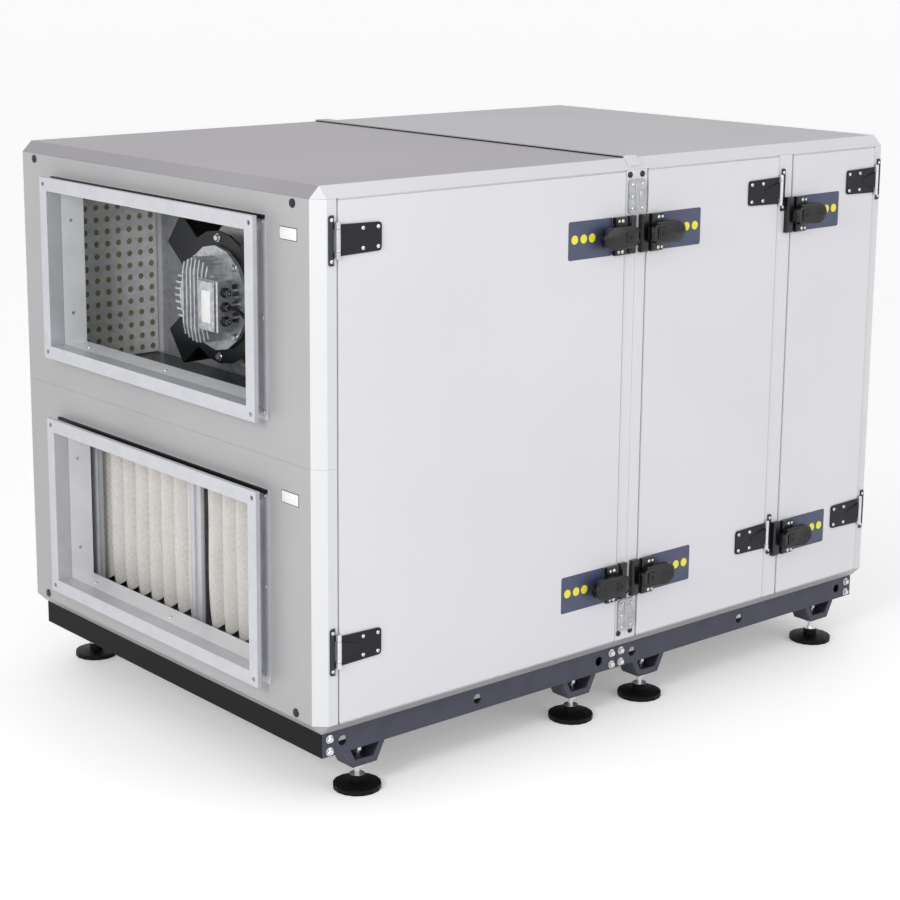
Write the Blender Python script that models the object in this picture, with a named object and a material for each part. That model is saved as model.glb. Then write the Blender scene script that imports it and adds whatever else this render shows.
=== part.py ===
"""Heat recovery ventilation unit: two joined casing modules on steel base frames.

Metres, +Z up. X runs along the unit, the service doors face -Y, and the duct end seen first
faces -X. The origin is on the floor under the middle of the unit's overall box.
"""
import math

import bmesh
import bpy
from mathutils import Matrix, Vector

# Casing
MODULE_LENGTH = 0.732      # each of the two modules
CASING_WIDTH = 0.970
CASING_HEIGHT = 0.940
CHAMFER = 0.020            # 45 degree edge all round the casing
WALL = 0.050               # sandwich panel thickness
SKIN_STEP = 0.022          # outer pan of a door or fixed panel, seated between the posts
POST = 0.040               # corner post on the service side, chamfer and flat together
JOINT_POST = 0.027         # post of each module beside the joint
MODULE_GAP = 0.0006        # between the two modules
SEAT = 0.0003              # between pieces that touch
PAST = 0.010               # how far a cutting block runs past the face it cuts
BITE = 0.001               # how far a joined piece runs into the one that carries it
DECK = 0.040               # floor between the upper and lower air path

# Doors
DOOR_GAP = 0.003
DOOR_PROUD = 0.002
PAN_GAP = 0.002            # more play for a door's inner pan than for its outer one
DOOR_SEAL = 0.004          # inside pieces to a door's inner face
MULLION_X = 0.396          # from the joint to the post between the two doors of module B
MULLION_WIDTH = 0.039

# Base frame
BASE_HEIGHT = 0.045
BASE_INSET = 0.022
BASE_CLEARANCE = 0.085     # floor to the underside of the base frame
CHANNEL_DEPTH = 0.040
CHANNEL_SHEET = 0.003
RAIL_HOLE_R = 0.0095
RAIL_HOLE_END = 0.045      # hole to the module's outer end

# Levelling feet
FOOT_FROM_END = 0.118
FOOT_FROM_JOINT = 0.094
FOOT_SETBACK = 0.025       # foot axis behind the rail's face
BRACKET_TOP = 0.090        # bracket's width under the rail
BRACKET_BOTTOM = 0.053
BRACKET_HEIGHT = 0.036
BRACKET_DEPTH = 0.044
BRACKET_SHEET = 0.003
BRACKET_FLANGE = 0.012     # rim left round the window in the bracket's front and back
PAD_R = 0.043
PAD_RIM = 0.009
PAD_CROWN = 0.004          # pad's top above its rim
PAD_NECK_R = 0.014
PAD_NECK = 0.026           # floor to the top of the pad's neck
SPINDLE_R = 0.005
SPINDLE_RISE = 0.026       # spindle's top nut above the bracket's underside
NUT_R = 0.0105
NUT_HEIGHT = 0.010
TOP_NUT_R = 0.0075
TOP_NUT_HEIGHT = 0.006

# Duct connections
DUCT_WIDTH = 0.650
UPPER_DUCT_SILL = 0.088    # seam of the end panels to the upper opening
UPPER_DUCT_HEAD = 0.082    # upper opening to the casing's top
LOWER_DUCT_SILL = 0.087    # casing's underside to the lower opening
LOWER_DUCT_HEAD = 0.083    # lower opening to the seam
FLANGE_WIDTH = 0.025
FLANGE_DEPTH = 0.030
FLANGE_SHEET = 0.0025
FLANGE_LIP = 0.008
FLANGE_HOLE_R = 0.0045

# Hinges
LOWER_HINGE = 0.152        # casing's underside to the lower hinge's middle
UPPER_HINGE = 0.088        # upper hinge's middle to the casing's top
HINGE_OFFSET = 0.0045      # axis to the door's edge
HINGE_PROUD = 0.0055       # axis in front of the casing's face
KNUCKLE_R = 0.0045
KNUCKLE_HEIGHT = 0.037     # door leaf's part of the barrel
EAR_HEIGHT = 0.010         # frame leaf's part, above and below it
EAR_GAP = 0.0005
LEAF = 0.0025
LEAF_LENGTH = 0.092
LEAF_HEIGHT = 0.052
LEAF_TIP_HEIGHT = 0.048
LEAF_CORNER = 0.006
GUSSET_LENGTH = 0.045      # raised wedge from the barrel over the door leaf
GUSSET_RISE = 0.003
GUSSET_TIP = 0.010
FRAME_LEAF_HEIGHT = 0.083
FRAME_LEAF_WIDTH = 0.011
FRAME_LEAF_CORNER = 0.003

# Latches
LOWER_LATCH = 0.140        # casing's underside to the lower latch's axis
UPPER_LATCH = 0.138        # upper latch's axis to the casing's top
HUB_FROM_EDGE = 0.012      # handle's axis to the door's edge
LATCH_BASE = 0.012
LATCH_BASE_HEIGHT = 0.070
LATCH_BASE_WIDTH = 0.030
LATCH_EDGE = 0.002         # latch base and keeper to the edges of door and post
LATCH_EASE = 0.003
KEEPER_WIDTH = 0.018
HANDLE_LIFT = 0.0015       # handle above its base and keeper
HANDLE_THICK = 0.014
HANDLE_BOSS = 0.002        # round boss in front of the handle's face
HANDLE_BOSS_R = 0.009
HANDLE_EASE = 0.003
HANDLE_GRIP = 0.061        # axis to the end of the round grip
GRIP_R = 0.018
HANDLE_WAIST = 0.028       # handle's height at its axis
HANDLE_NOSE = 0.026        # axis to the end of the nose
NOSE_HEIGHT = 0.022
HUB_PIN_R = 0.007
HUB_PIN = 0.008            # pin's length inside the latch base
BEARING_CLEARANCE = 0.0004 # between a turning pin or shaft and its bore

# Joining pieces between the modules
STRIP_WIDTH = 0.030
STRIP_RISE = 0.004         # top of the roof strip above the roof
STRIP_TONGUE = 0.021       # strip's ends along the front and back chamfers
PLATE_WIDTH = 0.043
PLATE_HEIGHT = 0.062
PLATE_THICK = 0.003
PLATE_CORNER = 0.007
PLATE_BULGE = 0.003        # curve of the plate's right edge
PLATE_FROM_EDGE = 0.038    # plate's end to the casing's top or underside

# Fans
FAN_AXIS_OFFSET = 0.010    # fan axis below the middle of its cell
FAN_PLATE_X = 0.300        # end face to the plate with the fan's inlet
FAN_PLATE = 0.004
FAN_B_X = 0.060            # joint to the far fan's inlet plate
INLET_R = 0.095
INLET_ROLL = 0.012         # inlet ring narrows by this much
INLET_DEPTH = 0.018
INLET_SHEET = 0.003
IMPELLER_R = 0.140
IMPELLER_WIDTH = 0.085
IMPELLER_SHEET = 0.003
IMPELLER_GAP = 0.012       # impeller to the inlet plate
SHROUD_CONE = 0.010        # shroud falls back this far from its eye to its rim
EYE_GAP = 0.004            # shroud's eye outside the inlet ring's mouth
HUB_R = 0.024
BLADES = 7
BLADE_ROOT_R = 0.070
BLADE_SCOOP = 0.014        # blade falls back this far from the shroud's eye to its root
BLADE_STEPS = 5
BLADE_SWEEP = 0.75         # radians from a blade's root to its tip, backwards
SUPPORT_RING_R = 0.124
SUPPORT_RING_X = 0.139     # end face to the front of the support ring
SUPPORT_SHEET = 0.005
SUPPORT_INSET = 0.0005     # arm's faces behind the ring's
SUPPORT_LEG = 0.006
SUPPORT_REACH = 0.185
SUPPORT_WIDTH = 0.075
SUPPORT_ANGLE = math.radians(38)
MOTOR_R = 0.079            # over the fins
MOTOR_CORE_R = 0.066
MOTOR_FRONT_X = 0.085      # end face to the front of the motor
MOTOR_SHIELD = 0.010       # end shields in front of and behind the fins
MOTOR_TAIL_GAP = 0.012     # motor to the impeller's back plate
MOTOR_FLANGE_R = 0.098     # flange that bolts to the support ring
MOTOR_FLANGE = 0.008
FIN_PITCH = 0.0125
FIN_SHEET = 0.004
FIN_COUNT = 7              # on each of the four sides
FIN_ROOT = 0.002           # fins start this far inside the housing's core
RIB_RISE = 0.008           # ribs across the motor's front shield
RIB_FALL = 0.3             # share of a rib's half height that slopes back at each end
TERMINAL_WIDTH = 0.057
TERMINAL_HEIGHT = 0.094
TERMINAL_LENGTH = 0.036
TERMINAL_OUT = 0.087       # motor's axis to the outer side of the terminal box
TERMINAL_FRONT = 0.012     # terminal box in front of the ribs
TERMINAL_EASE = 0.004
GLAND_R = 0.0068
GLAND_LENGTH = 0.016
GLAND_PITCH = 0.026
GLAND_COUNT = 3
SHAFT_R = 0.012
SHAFT_IN_MOTOR = 0.030

# Motor cable, from the middle gland of fan A to its inlet plate
CABLE_R = 0.0035
CABLE_STEP = 0.018         # between the tube's points
CABLE_ROUTE = (
    (-0.6410, -0.0876, 0.8100), (-0.6410, -0.1060, 0.8097), (-0.6407, -0.1235, 0.8055),
    (-0.6398, -0.1390, 0.7960), (-0.6375, -0.1515, 0.7815), (-0.6330, -0.1610, 0.7640),
    (-0.6255, -0.1680, 0.7460), (-0.6145, -0.1730, 0.7300), (-0.6000, -0.1765, 0.7175),
    (-0.5825, -0.1790, 0.7090), (-0.5630, -0.1808, 0.7050), (-0.5430, -0.1822, 0.7052),
    (-0.5230, -0.1832, 0.7090), (-0.5035, -0.1838, 0.7145), (-0.4840, -0.1840, 0.7195),
    (-0.4640, -0.1840, 0.7222), (-0.4363, -0.1840, 0.7230))

# Filters and exchanger
FILTER_X = 0.085           # end face to the near filter's face
FILTER_B_X = 0.080         # joint to the far filter's back
FILTER_DEPTH = 0.096
FILTER_RIM = 0.012
FILTER_RIM_SET = 0.003     # rim behind the pleats' crowns
PLEAT_PITCH = 0.047
PLEAT_DEPTH = 0.026
PLEAT_STEPS = 4
EXCHANGER_FROM_FAN = 0.032 # fan plate to the exchanger cassette
EXCHANGER_FROM_JOINT = 0.042
WHEEL_MARGIN = 0.030       # wheel opening to the cassette's edge
WHEEL_RECESS = 0.010
WHEEL_BEAM = 0.060

# Flats on round pieces
LARGE_ROUND = 22
MEDIUM_ROUND = 16
SMALL_ROUND = 12

# Derived places
BASE_Z = BASE_CLEARANCE
CASING_Z = BASE_Z + BASE_HEIGHT
TOP_Z = CASING_Z + CASING_HEIGHT
MID_Z = CASING_Z + CASING_HEIGHT / 2
LOW_Z = CASING_Z + CHAMFER
HIGH_Z = TOP_Z - CHAMFER
HANDLE_FRONT = DOOR_PROUD + LATCH_BASE + HANDLE_LIFT + HANDLE_THICK + HANDLE_BOSS
CENTRE_Y = HANDLE_FRONT / 2
FRONT_Y = CENTRE_Y - CASING_WIDTH / 2
BACK_Y = CENTRE_Y + CASING_WIDTH / 2
DOOR_FACE = FRONT_Y - DOOR_PROUD
HINGE_Y = FRONT_Y - HINGE_PROUD
REACH = MODULE_LENGTH + CASING_WIDTH + TOP_Z
LEVELS = ("lower", "upper")
HINGE_Z = (CASING_Z + LOWER_HINGE, TOP_Z - UPPER_HINGE)
LATCH_Z = (CASING_Z + LOWER_LATCH, TOP_Z - UPPER_LATCH)
LOWER_DUCT = (CASING_Z + LOWER_DUCT_SILL, MID_Z - LOWER_DUCT_HEAD)
UPPER_DUCT = (MID_Z + UPPER_DUCT_SILL, TOP_Z - UPPER_DUCT_HEAD)

PAINT = {}


def material(name, colour, roughness, metallic):
    """Makes one Principled material and keeps it by name."""
    made = bpy.data.materials.new(name)
    made.use_nodes = True
    shader = made.node_tree.nodes["Principled BSDF"]
    shader.inputs["Base Color"].default_value = (*colour, 1.0)
    shader.inputs["Roughness"].default_value = roughness
    shader.inputs["Metallic"].default_value = metallic
    PAINT[name] = made


def make_materials():
    material("panel_light", (0.70, 0.70, 0.73), 0.45, 0.0)
    material("panel_grey", (0.45, 0.45, 0.46), 0.45, 0.2)
    material("galvanised", (0.55, 0.56, 0.57), 0.40, 0.9)
    material("base_dark", (0.06, 0.06, 0.07), 0.5, 0.1)
    material("plastic_black", (0.025, 0.025, 0.03), 0.45, 0.0)
    material("motor_cast", (0.42, 0.41, 0.41), 0.5, 0.8)
    material("support_black", (0.03, 0.032, 0.035), 0.5, 0.2)
    material("filter_media", (0.72, 0.69, 0.62), 0.9, 0.0)


def as_object(name, work, paint):
    """Turns a filled bmesh into a linked object with outward faces."""
    bmesh.ops.recalc_face_normals(work, faces=work.faces)
    mesh = bpy.data.meshes.new(name)
    work.to_mesh(mesh)
    work.free()
    mesh.materials.append(PAINT[paint])
    made = bpy.data.objects.new(name, mesh)
    bpy.context.scene.collection.objects.link(made)
    return made


def block(low, high):
    """A bmesh of a plain block between two corners."""
    work = bmesh.new()
    bmesh.ops.create_cube(work, size=1.0)
    low, high = Vector(low), Vector(high)
    place = Matrix.Translation((low + high) / 2) @ Matrix.Diagonal((*(high - low), 1.0))
    bmesh.ops.transform(work, matrix=place, verts=work.verts)
    return work


def box(name, low, high, paint="panel_light"):
    return as_object(name, block(low, high), paint)


def cutter(low, high):
    """A block for cutting; None in a corner stands for well past the whole unit."""
    low = [-REACH if value is None else value for value in low]
    high = [REACH if value is None else value for value in high]
    return box("cutter", low, high)


def prism(name, outline, axis, start, end, paint="panel_light", ease=0.0):
    """An outline drawn across one axis and pulled along it; ease chamfers the rim at its start."""
    place = {
        "X": lambda a, b, along: (along, a, b),
        "Y": lambda a, b, along: (a, along, b),
        "Z": lambda a, b, along: (a, b, along),
    }[axis]
    work = bmesh.new()
    near = [work.verts.new(place(a, b, start)) for a, b in outline]
    far = [work.verts.new(place(a, b, end)) for a, b in outline]
    work.faces.new(near)
    work.faces.new(far[::-1])
    for first, second, third, fourth in zip(near, near[1:] + near[:1], far[1:] + far[:1], far):
        work.faces.new((first, second, third, fourth))
    if ease:
        rim = [edge for edge in work.edges if all(vert in near for vert in edge.verts)]
        bmesh.ops.bevel(work, geom=rim, offset=ease, segments=1, affect="EDGES", offset_type="OFFSET")
    return as_object(name, work, paint)


def turned(name, profile, centre, axis, sides, paint):
    """A closed profile of (radius, travel) pairs turned about an axis through centre."""
    work = bmesh.new()
    rings = []
    for radius, travel in profile:
        count = 1 if radius == 0 else sides
        turn = [2 * math.pi * step / sides for step in range(count)]
        rings.append([work.verts.new((radius * math.cos(a), radius * math.sin(a), travel)) for a in turn])
    closed = profile[0][0] != 0
    pairs = list(zip(rings, rings[1:])) + ([(rings[-1], rings[0])] if closed else [])
    for first, second in pairs:
        for step in range(sides):
            after = (step + 1) % sides
            corners = (first[step % len(first)], first[after % len(first)],
                       second[after % len(second)], second[step % len(second)])
            work.faces.new(dict.fromkeys(corners))
    spin = Vector((0, 0, 1)).rotation_difference(Vector(axis)).to_matrix().to_4x4()
    bmesh.ops.transform(work, matrix=Matrix.Translation(centre) @ spin, verts=work.verts)
    return as_object(name, work, paint)


def rod(name, start, end, radius, sides=SMALL_ROUND, paint="galvanised"):
    """A plain round bar between two points."""
    run = Vector(end) - Vector(start)
    return turned(name, [(0, 0), (radius, 0), (radius, run.length), (0, run.length)], start, run, sides, paint)


def lofted(name, rings, paint, closed):
    """A skin over rings of points; closed joins the last ring to the first, else the ends are capped."""
    work = bmesh.new()
    rows = [[work.verts.new(point) for point in ring] for ring in rings]
    pairs = list(zip(rows, rows[1:])) + ([(rows[-1], rows[0])] if closed else [])
    for first, second in pairs:
        for here in range(len(first)):
            after = (here + 1) % len(first)
            work.faces.new((first[here], first[after], second[after], second[here]))
    if not closed:
        work.faces.new(rows[0])
        work.faces.new(rows[-1])
        bmesh.ops.triangulate(work, faces=work.faces)
    return as_object(name, work, paint)


def hull(name, points, paint):
    """The convex solid round a few points."""
    work = bmesh.new()
    for point in points:
        work.verts.new(point)
    bmesh.ops.convex_hull(work, input=work.verts)
    return as_object(name, work, paint)


def combine(base, tools, operation):
    """Unites or cuts base with the tools, bakes the result and removes the tools."""
    for tool in tools:
        change = base.modifiers.new(operation, "BOOLEAN")
        change.operation = operation
        change.object = tool
        bpy.context.view_layer.update()
        shape = base.evaluated_get(bpy.context.evaluated_depsgraph_get())
        mesh = bpy.data.meshes.new_from_object(shape)
        base.modifiers.clear()
        paint = base.data.materials[0]
        base.data = mesh
        mesh.name = base.name
        mesh.materials.clear()
        mesh.materials.append(paint)
        mesh.polygons.foreach_set("material_index", [0] * len(mesh.polygons))
        bpy.data.objects.remove(tool)
    return base


def cut(base, *tools):
    return combine(base, tools, "DIFFERENCE")


def unite(base, *tools):
    return combine(base, tools, "UNION")


def letter(side):
    """Module A lies on side -1 of the joint and module B on side 1."""
    return "a" if side < 0 else "b"


def span(side, near, far):
    """Low and high X of a stretch given by its distances from the joint."""
    return tuple(sorted((side * near, side * far)))


def arc(centre, radius, start, end, steps):
    """Points along an arc, angles in radians."""
    turn = [start + (end - start) * step / steps for step in range(steps + 1)]
    return [(centre[0] + radius * math.cos(a), centre[1] + radius * math.sin(a)) for a in turn]


def flip(outline, axis_x, toward):
    """Mirrors an outline drawn from axis_x towards +X so that it runs the given way."""
    return [(axis_x + toward * a, b) for a, b in outline]


def casing_form(name, side, low_z, high_z):
    """The module's outer form between two heights, with its outer edges chamfered."""
    low_x, high_x = span(side, MODULE_GAP / 2, MODULE_LENGTH)
    work = block((low_x, FRONT_Y, CASING_Z), (high_x, BACK_Y, TOP_Z))
    joint_x = side * MODULE_GAP / 2
    outer = [e for e in work.edges if not all(abs(v.co.x - joint_x) < MODULE_GAP / 4 for v in e.verts)]
    bmesh.ops.bevel(work, geom=outer, offset=CHAMFER, segments=1, affect="EDGES", offset_type="OFFSET")
    form = as_object(name, work, "panel_grey")
    if low_z > CASING_Z:
        cut(form, cutter((None, None, None), (None, None, low_z)))
    if high_z < TOP_Z:
        cut(form, cutter((None, None, high_z), (None, None, None)))
    return form


def roof_and_floor(side):
    """Top and bottom panels, rebated so that doors, back and end panels seat under their edges."""
    end_low, end_high = span(side, MODULE_LENGTH - WALL, REACH)
    for name, low, high, step_low, step_high in (
            ("roof", TOP_Z - WALL, TOP_Z, TOP_Z - WALL - PAST, HIGH_Z),
            ("floor", CASING_Z, CASING_Z + WALL, LOW_Z, CASING_Z + WALL + PAST)):
        panel = casing_form(f"{name}_{letter(side)}", side, low, high)
        cut(panel,
            cutter((end_low, None, step_low), (end_high, None, step_high)),
            cutter((None, None, step_low), (None, FRONT_Y + SKIN_STEP, step_high)),
            cutter((None, BACK_Y - SKIN_STEP, step_low), (None, None, step_high)))


def end_panels(side):
    """Upper and lower end panels with their corner posts and a duct opening each."""
    for level, low, high, duct in (
            ("upper", MID_Z + SEAT / 2, HIGH_Z - SEAT, UPPER_DUCT),
            ("lower", LOW_Z + SEAT, MID_Z - SEAT / 2, LOWER_DUCT)):
        panel = casing_form(f"end_{level}_{letter(side)}", side, low, high)
        inner_low, inner_high = span(side, -REACH, MODULE_LENGTH - WALL + SEAT)
        post_low, post_high = span(side, -REACH, MODULE_LENGTH - POST)
        cut(panel,
            cutter((inner_low, None, None), (inner_high, None, None)),
            cutter((post_low, None, None), (post_high, FRONT_Y + SKIN_STEP, None)),
            cutter((post_low, BACK_Y - SKIN_STEP, None), (post_high, None, None)),
            cutter((None, CENTRE_Y - DUCT_WIDTH / 2, duct[0]), (None, CENTRE_Y + DUCT_WIDTH / 2, duct[1])))


def stepped_panel(name, outer_x, inner_x, face_y, back_y, gap, proud=0.0):
    """A sandwich panel: an outer pan between the posts and a smaller inner pan behind it."""
    inward = 1 if back_y > face_y else -1
    step = face_y + inward * (SKIN_STEP - 2 * SEAT)
    outer_y = sorted((face_y - inward * proud, step))
    inner_y = sorted((step - inward * BITE, back_y))
    outer = box(name, (outer_x[0] + gap, outer_y[0], LOW_Z + gap), (outer_x[1] - gap, outer_y[1], HIGH_Z - gap))
    inner = box("inner", (inner_x[0], inner_y[0], CASING_Z + WALL + gap + SEAT),
                (inner_x[1], inner_y[1], TOP_Z - WALL - gap - SEAT))
    return unite(outer, inner)


def back_panel(side):
    outer_x = span(side, MODULE_GAP / 2, MODULE_LENGTH - POST - SEAT)
    inner_x = span(side, MODULE_GAP / 2 + SEAT, MODULE_LENGTH - WALL - SEAT)
    stepped_panel(f"back_{letter(side)}", outer_x, inner_x, BACK_Y, BACK_Y - WALL, SEAT / 2)


def leaf_outline(height):
    """Door leaf seen from the front, running from the barrel towards +X, around mid height."""
    start = KNUCKLE_R + EAR_GAP * 2
    half, tip, knuckle = LEAF_HEIGHT / 2, LEAF_TIP_HEIGHT / 2, KNUCKLE_HEIGHT / 2
    corner = LEAF_LENGTH - LEAF_CORNER
    low_arc = arc((corner, height - tip + LEAF_CORNER), LEAF_CORNER, -math.pi / 2, 0, 3)
    high_arc = arc((corner, height + tip - LEAF_CORNER), LEAF_CORNER, 0, math.pi / 2, 3)
    return [(0, height - knuckle), (start, height - knuckle), (start, height - half), *low_arc, *high_arc,
            (start, height + half), (start, height + knuckle), (0, height + knuckle)]


def hinge_leaf(name, toward, axis_x, height):
    """Door leaf of a hinge with its part of the barrel and a wedge that stiffens it."""
    leaf_y = DOOR_FACE - SEAT
    leaf = prism(name, flip(leaf_outline(height), axis_x, toward), "Y", leaf_y - LEAF, leaf_y, "plastic_black")
    half = KNUCKLE_HEIGHT / 2 - BITE
    front = leaf_y - LEAF
    wedge = [(0, front - GUSSET_RISE, half), (0, front - GUSSET_RISE, -half),
             (0, front + BITE, half), (0, front + BITE, -half),
             (GUSSET_LENGTH, front + BITE, GUSSET_TIP / 2), (GUSSET_LENGTH, front + BITE, -GUSSET_TIP / 2),
             (GUSSET_LENGTH, front - BITE / 2, GUSSET_TIP / 2),
             (GUSSET_LENGTH, front - BITE / 2, -GUSSET_TIP / 2)]
    gusset = hull("gusset", [(axis_x + toward * x, y, height + z) for x, y, z in wedge], "plastic_black")
    barrel = rod("barrel", (axis_x, HINGE_Y, height - KNUCKLE_HEIGHT / 2),
                 (axis_x, HINGE_Y, height + KNUCKLE_HEIGHT / 2), KNUCKLE_R)
    return unite(leaf, gusset, barrel)


def frame_leaf(toward, axis_x, height):
    """Narrow hinge leaf on the post, with an ear above and below the door leaf's barrel."""
    edge = KNUCKLE_R + EAR_GAP * 2
    half, cut_off = FRAME_LEAF_HEIGHT / 2, FRAME_LEAF_CORNER
    outline = [(-edge, -half), (-edge, half), (-edge - FRAME_LEAF_WIDTH + cut_off, half),
               (-edge - FRAME_LEAF_WIDTH, half - cut_off), (-edge - FRAME_LEAF_WIDTH, cut_off - half),
               (-edge - FRAME_LEAF_WIDTH + cut_off, -half)]
    plate = prism("frame_leaf", [(axis_x + toward * x, height + z) for x, z in outline], "Y",
                  FRONT_Y - LEAF, FRONT_Y + BITE, "plastic_black")
    for sign in (-1, 1):
        near = height + sign * (KNUCKLE_HEIGHT / 2 + EAR_GAP)
        far = near + sign * EAR_HEIGHT
        low_x, high_x = sorted((axis_x - toward * (edge + BITE), axis_x))
        web = box("web", (low_x, HINGE_Y + KNUCKLE_R / 3, min(near, far) + BITE / 2),
                  (high_x, FRONT_Y - BITE / 2, max(near, far) - BITE / 2))
        ear = rod("ear", (axis_x, HINGE_Y, min(near, far)), (axis_x, HINGE_Y, max(near, far)), KNUCKLE_R)
        unite(plate, web, ear)
    return plate


def raised_block(name, low_x, high_x, face_y, height):
    """Body of a latch base or keeper, standing off a face with its front rim chamfered."""
    half = LATCH_BASE_HEIGHT / 2
    outline = [(low_x, height - half), (high_x, height - half), (high_x, height + half), (low_x, height + half)]
    return prism(name, outline, "Y", face_y - LATCH_BASE, face_y + BITE, "plastic_black", LATCH_EASE)


def keeper(toward, edge_x, height):
    """Latch keeper on a post: the handle's nose lies in front of it when the door is shut."""
    near = edge_x + toward * LATCH_EDGE
    low_x, high_x = sorted((near, near + toward * KEEPER_WIDTH))
    return raised_block("keeper", low_x, high_x, FRONT_Y, height)


def post(name, low_x, high_x, fittings):
    made = box(name, (low_x, FRONT_Y, LOW_Z + SEAT), (high_x, FRONT_Y + WALL, HIGH_Z - SEAT))
    step = FRONT_Y + SKIN_STEP - SEAT
    cut(made,
        cutter((None, step, TOP_Z - WALL - SEAT), (None, None, None)),
        cutter((None, step, None), (None, None, CASING_Z + WALL + SEAT)))
    return unite(made, *fittings)


def handle(name, toward, hub_x, height):
    """Latch handle: a round grip, a waist over its axis and a nose that reaches over the keeper."""
    grip_x = HANDLE_GRIP - GRIP_R
    grip = arc((grip_x, height), GRIP_R, -math.pi / 2, math.pi / 2, 8)
    waist, nose = HANDLE_WAIST / 2, NOSE_HEIGHT / 2
    outline = [(-HANDLE_NOSE, height - nose), (0, height - waist), *grip,
               (0, height + waist), (-HANDLE_NOSE, height + nose)]
    back = DOOR_FACE - LATCH_BASE - HANDLE_LIFT
    front = back - HANDLE_THICK
    lever = prism(name, flip(outline, hub_x, toward), "Y", front, back, "plastic_black", HANDLE_EASE)
    boss = rod("boss", (hub_x, front - HANDLE_BOSS, height), (hub_x, front + BITE, height), HANDLE_BOSS_R)
    pin = rod("pin", (hub_x, back - BITE, height), (hub_x, back + HANDLE_LIFT + HUB_PIN, height), HUB_PIN_R)
    return unite(lever, boss, pin)


def door(number, low_x, high_x, hinge_side):
    """A hung door with its two hinge leaves and two latches; hinge_side is -1 left or 1 right."""
    inset = WALL - POST + DOOR_GAP + PAN_GAP
    made = stepped_panel(f"door_{number}", (low_x, high_x), (low_x + inset, high_x - inset),
                         FRONT_Y, FRONT_Y + WALL, DOOR_GAP, DOOR_PROUD)
    edges = (low_x + DOOR_GAP, high_x - DOOR_GAP)
    hinge_edge, latch_edge = edges if hinge_side < 0 else edges[::-1]
    axis_x = hinge_edge + hinge_side * HINGE_OFFSET
    hub_x = latch_edge + hinge_side * HUB_FROM_EDGE
    base_near = latch_edge + hinge_side * LATCH_EDGE
    base_x = sorted((base_near, base_near + hinge_side * LATCH_BASE_WIDTH))
    mouth_y = DOOR_FACE - LATCH_BASE
    for level, hinge_z, latch_z in zip(LEVELS, HINGE_Z, LATCH_Z):
        hinge_leaf(f"hinge_{number}_{level}", -hinge_side, axis_x, hinge_z)
        unite(made, raised_block("latch_base", *base_x, DOOR_FACE, latch_z))
        cut(made, rod("socket", (hub_x, mouth_y - PAST, latch_z), (hub_x, mouth_y + HUB_PIN + SEAT, latch_z),
                      HUB_PIN_R + BEARING_CLEARANCE))
        handle(f"handle_{number}_{level}", hinge_side, hub_x, latch_z)
    return axis_x


def doors_and_posts():
    mullion_low, mullion_high = MULLION_X, MULLION_X + MULLION_WIDTH
    end = MODULE_LENGTH - POST
    axis_1 = door(1, -end, -JOINT_POST, -1)
    axis_2 = door(2, JOINT_POST, mullion_low, 1)
    axis_3 = door(3, mullion_high, end, 1)
    post("joint_post_a", -JOINT_POST, -MODULE_GAP / 2, [keeper(1, -JOINT_POST, z) for z in LATCH_Z])
    post("joint_post_b", MODULE_GAP / 2, JOINT_POST, [keeper(-1, JOINT_POST, z) for z in LATCH_Z])
    post("mullion", mullion_low, mullion_high,
         [keeper(-1, mullion_high, z) for z in LATCH_Z] + [frame_leaf(-1, axis_2, z) for z in HINGE_Z])
    for panel, axis_x, toward in (("a", axis_1, 1), ("b", axis_3, -1)):
        for level, height in zip(LEVELS, HINGE_Z):
            unite(bpy.data.objects[f"end_{level}_{panel}"], frame_leaf(toward, axis_x, height))


def duct_flange(side, level, duct):
    """C-section frame round a duct opening, open outwards, with a returned lip and corner holes."""
    face = MODULE_LENGTH + SEAT
    sheet, width, depth = FLANGE_SHEET, FLANGE_WIDTH, FLANGE_DEPTH
    profile = [(0, 0), (width, 0), (width, sheet), (sheet, sheet),
               (sheet, depth - sheet), (width - sheet, depth - sheet),
               (width - sheet, depth - FLANGE_LIP), (width, depth - FLANGE_LIP),
               (width, depth), (0, depth)]
    rings = []
    for out, along in profile:
        x = side * (face + along)
        low_y, high_y = CENTRE_Y - DUCT_WIDTH / 2 - out, CENTRE_Y + DUCT_WIDTH / 2 + out
        low_z, high_z = duct[0] - out, duct[1] + out
        rings.append([(x, low_y, low_z), (x, high_y, low_z), (x, high_y, high_z), (x, low_y, high_z)])
    frame = lofted(f"duct_flange_{level}_{letter(side)}", rings, "galvanised", True)
    middle = sheet + (width - 2 * sheet) / 2
    for y in (CENTRE_Y - DUCT_WIDTH / 2 - middle, CENTRE_Y + DUCT_WIDTH / 2 + middle):
        for z in (duct[0] - middle, duct[1] + middle):
            cut(frame, rod("bolt_hole", (side * (face + depth / 2), y, z), (side * (face + depth + PAST), y, z),
                           FLANGE_HOLE_R, 10))
    return frame


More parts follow.
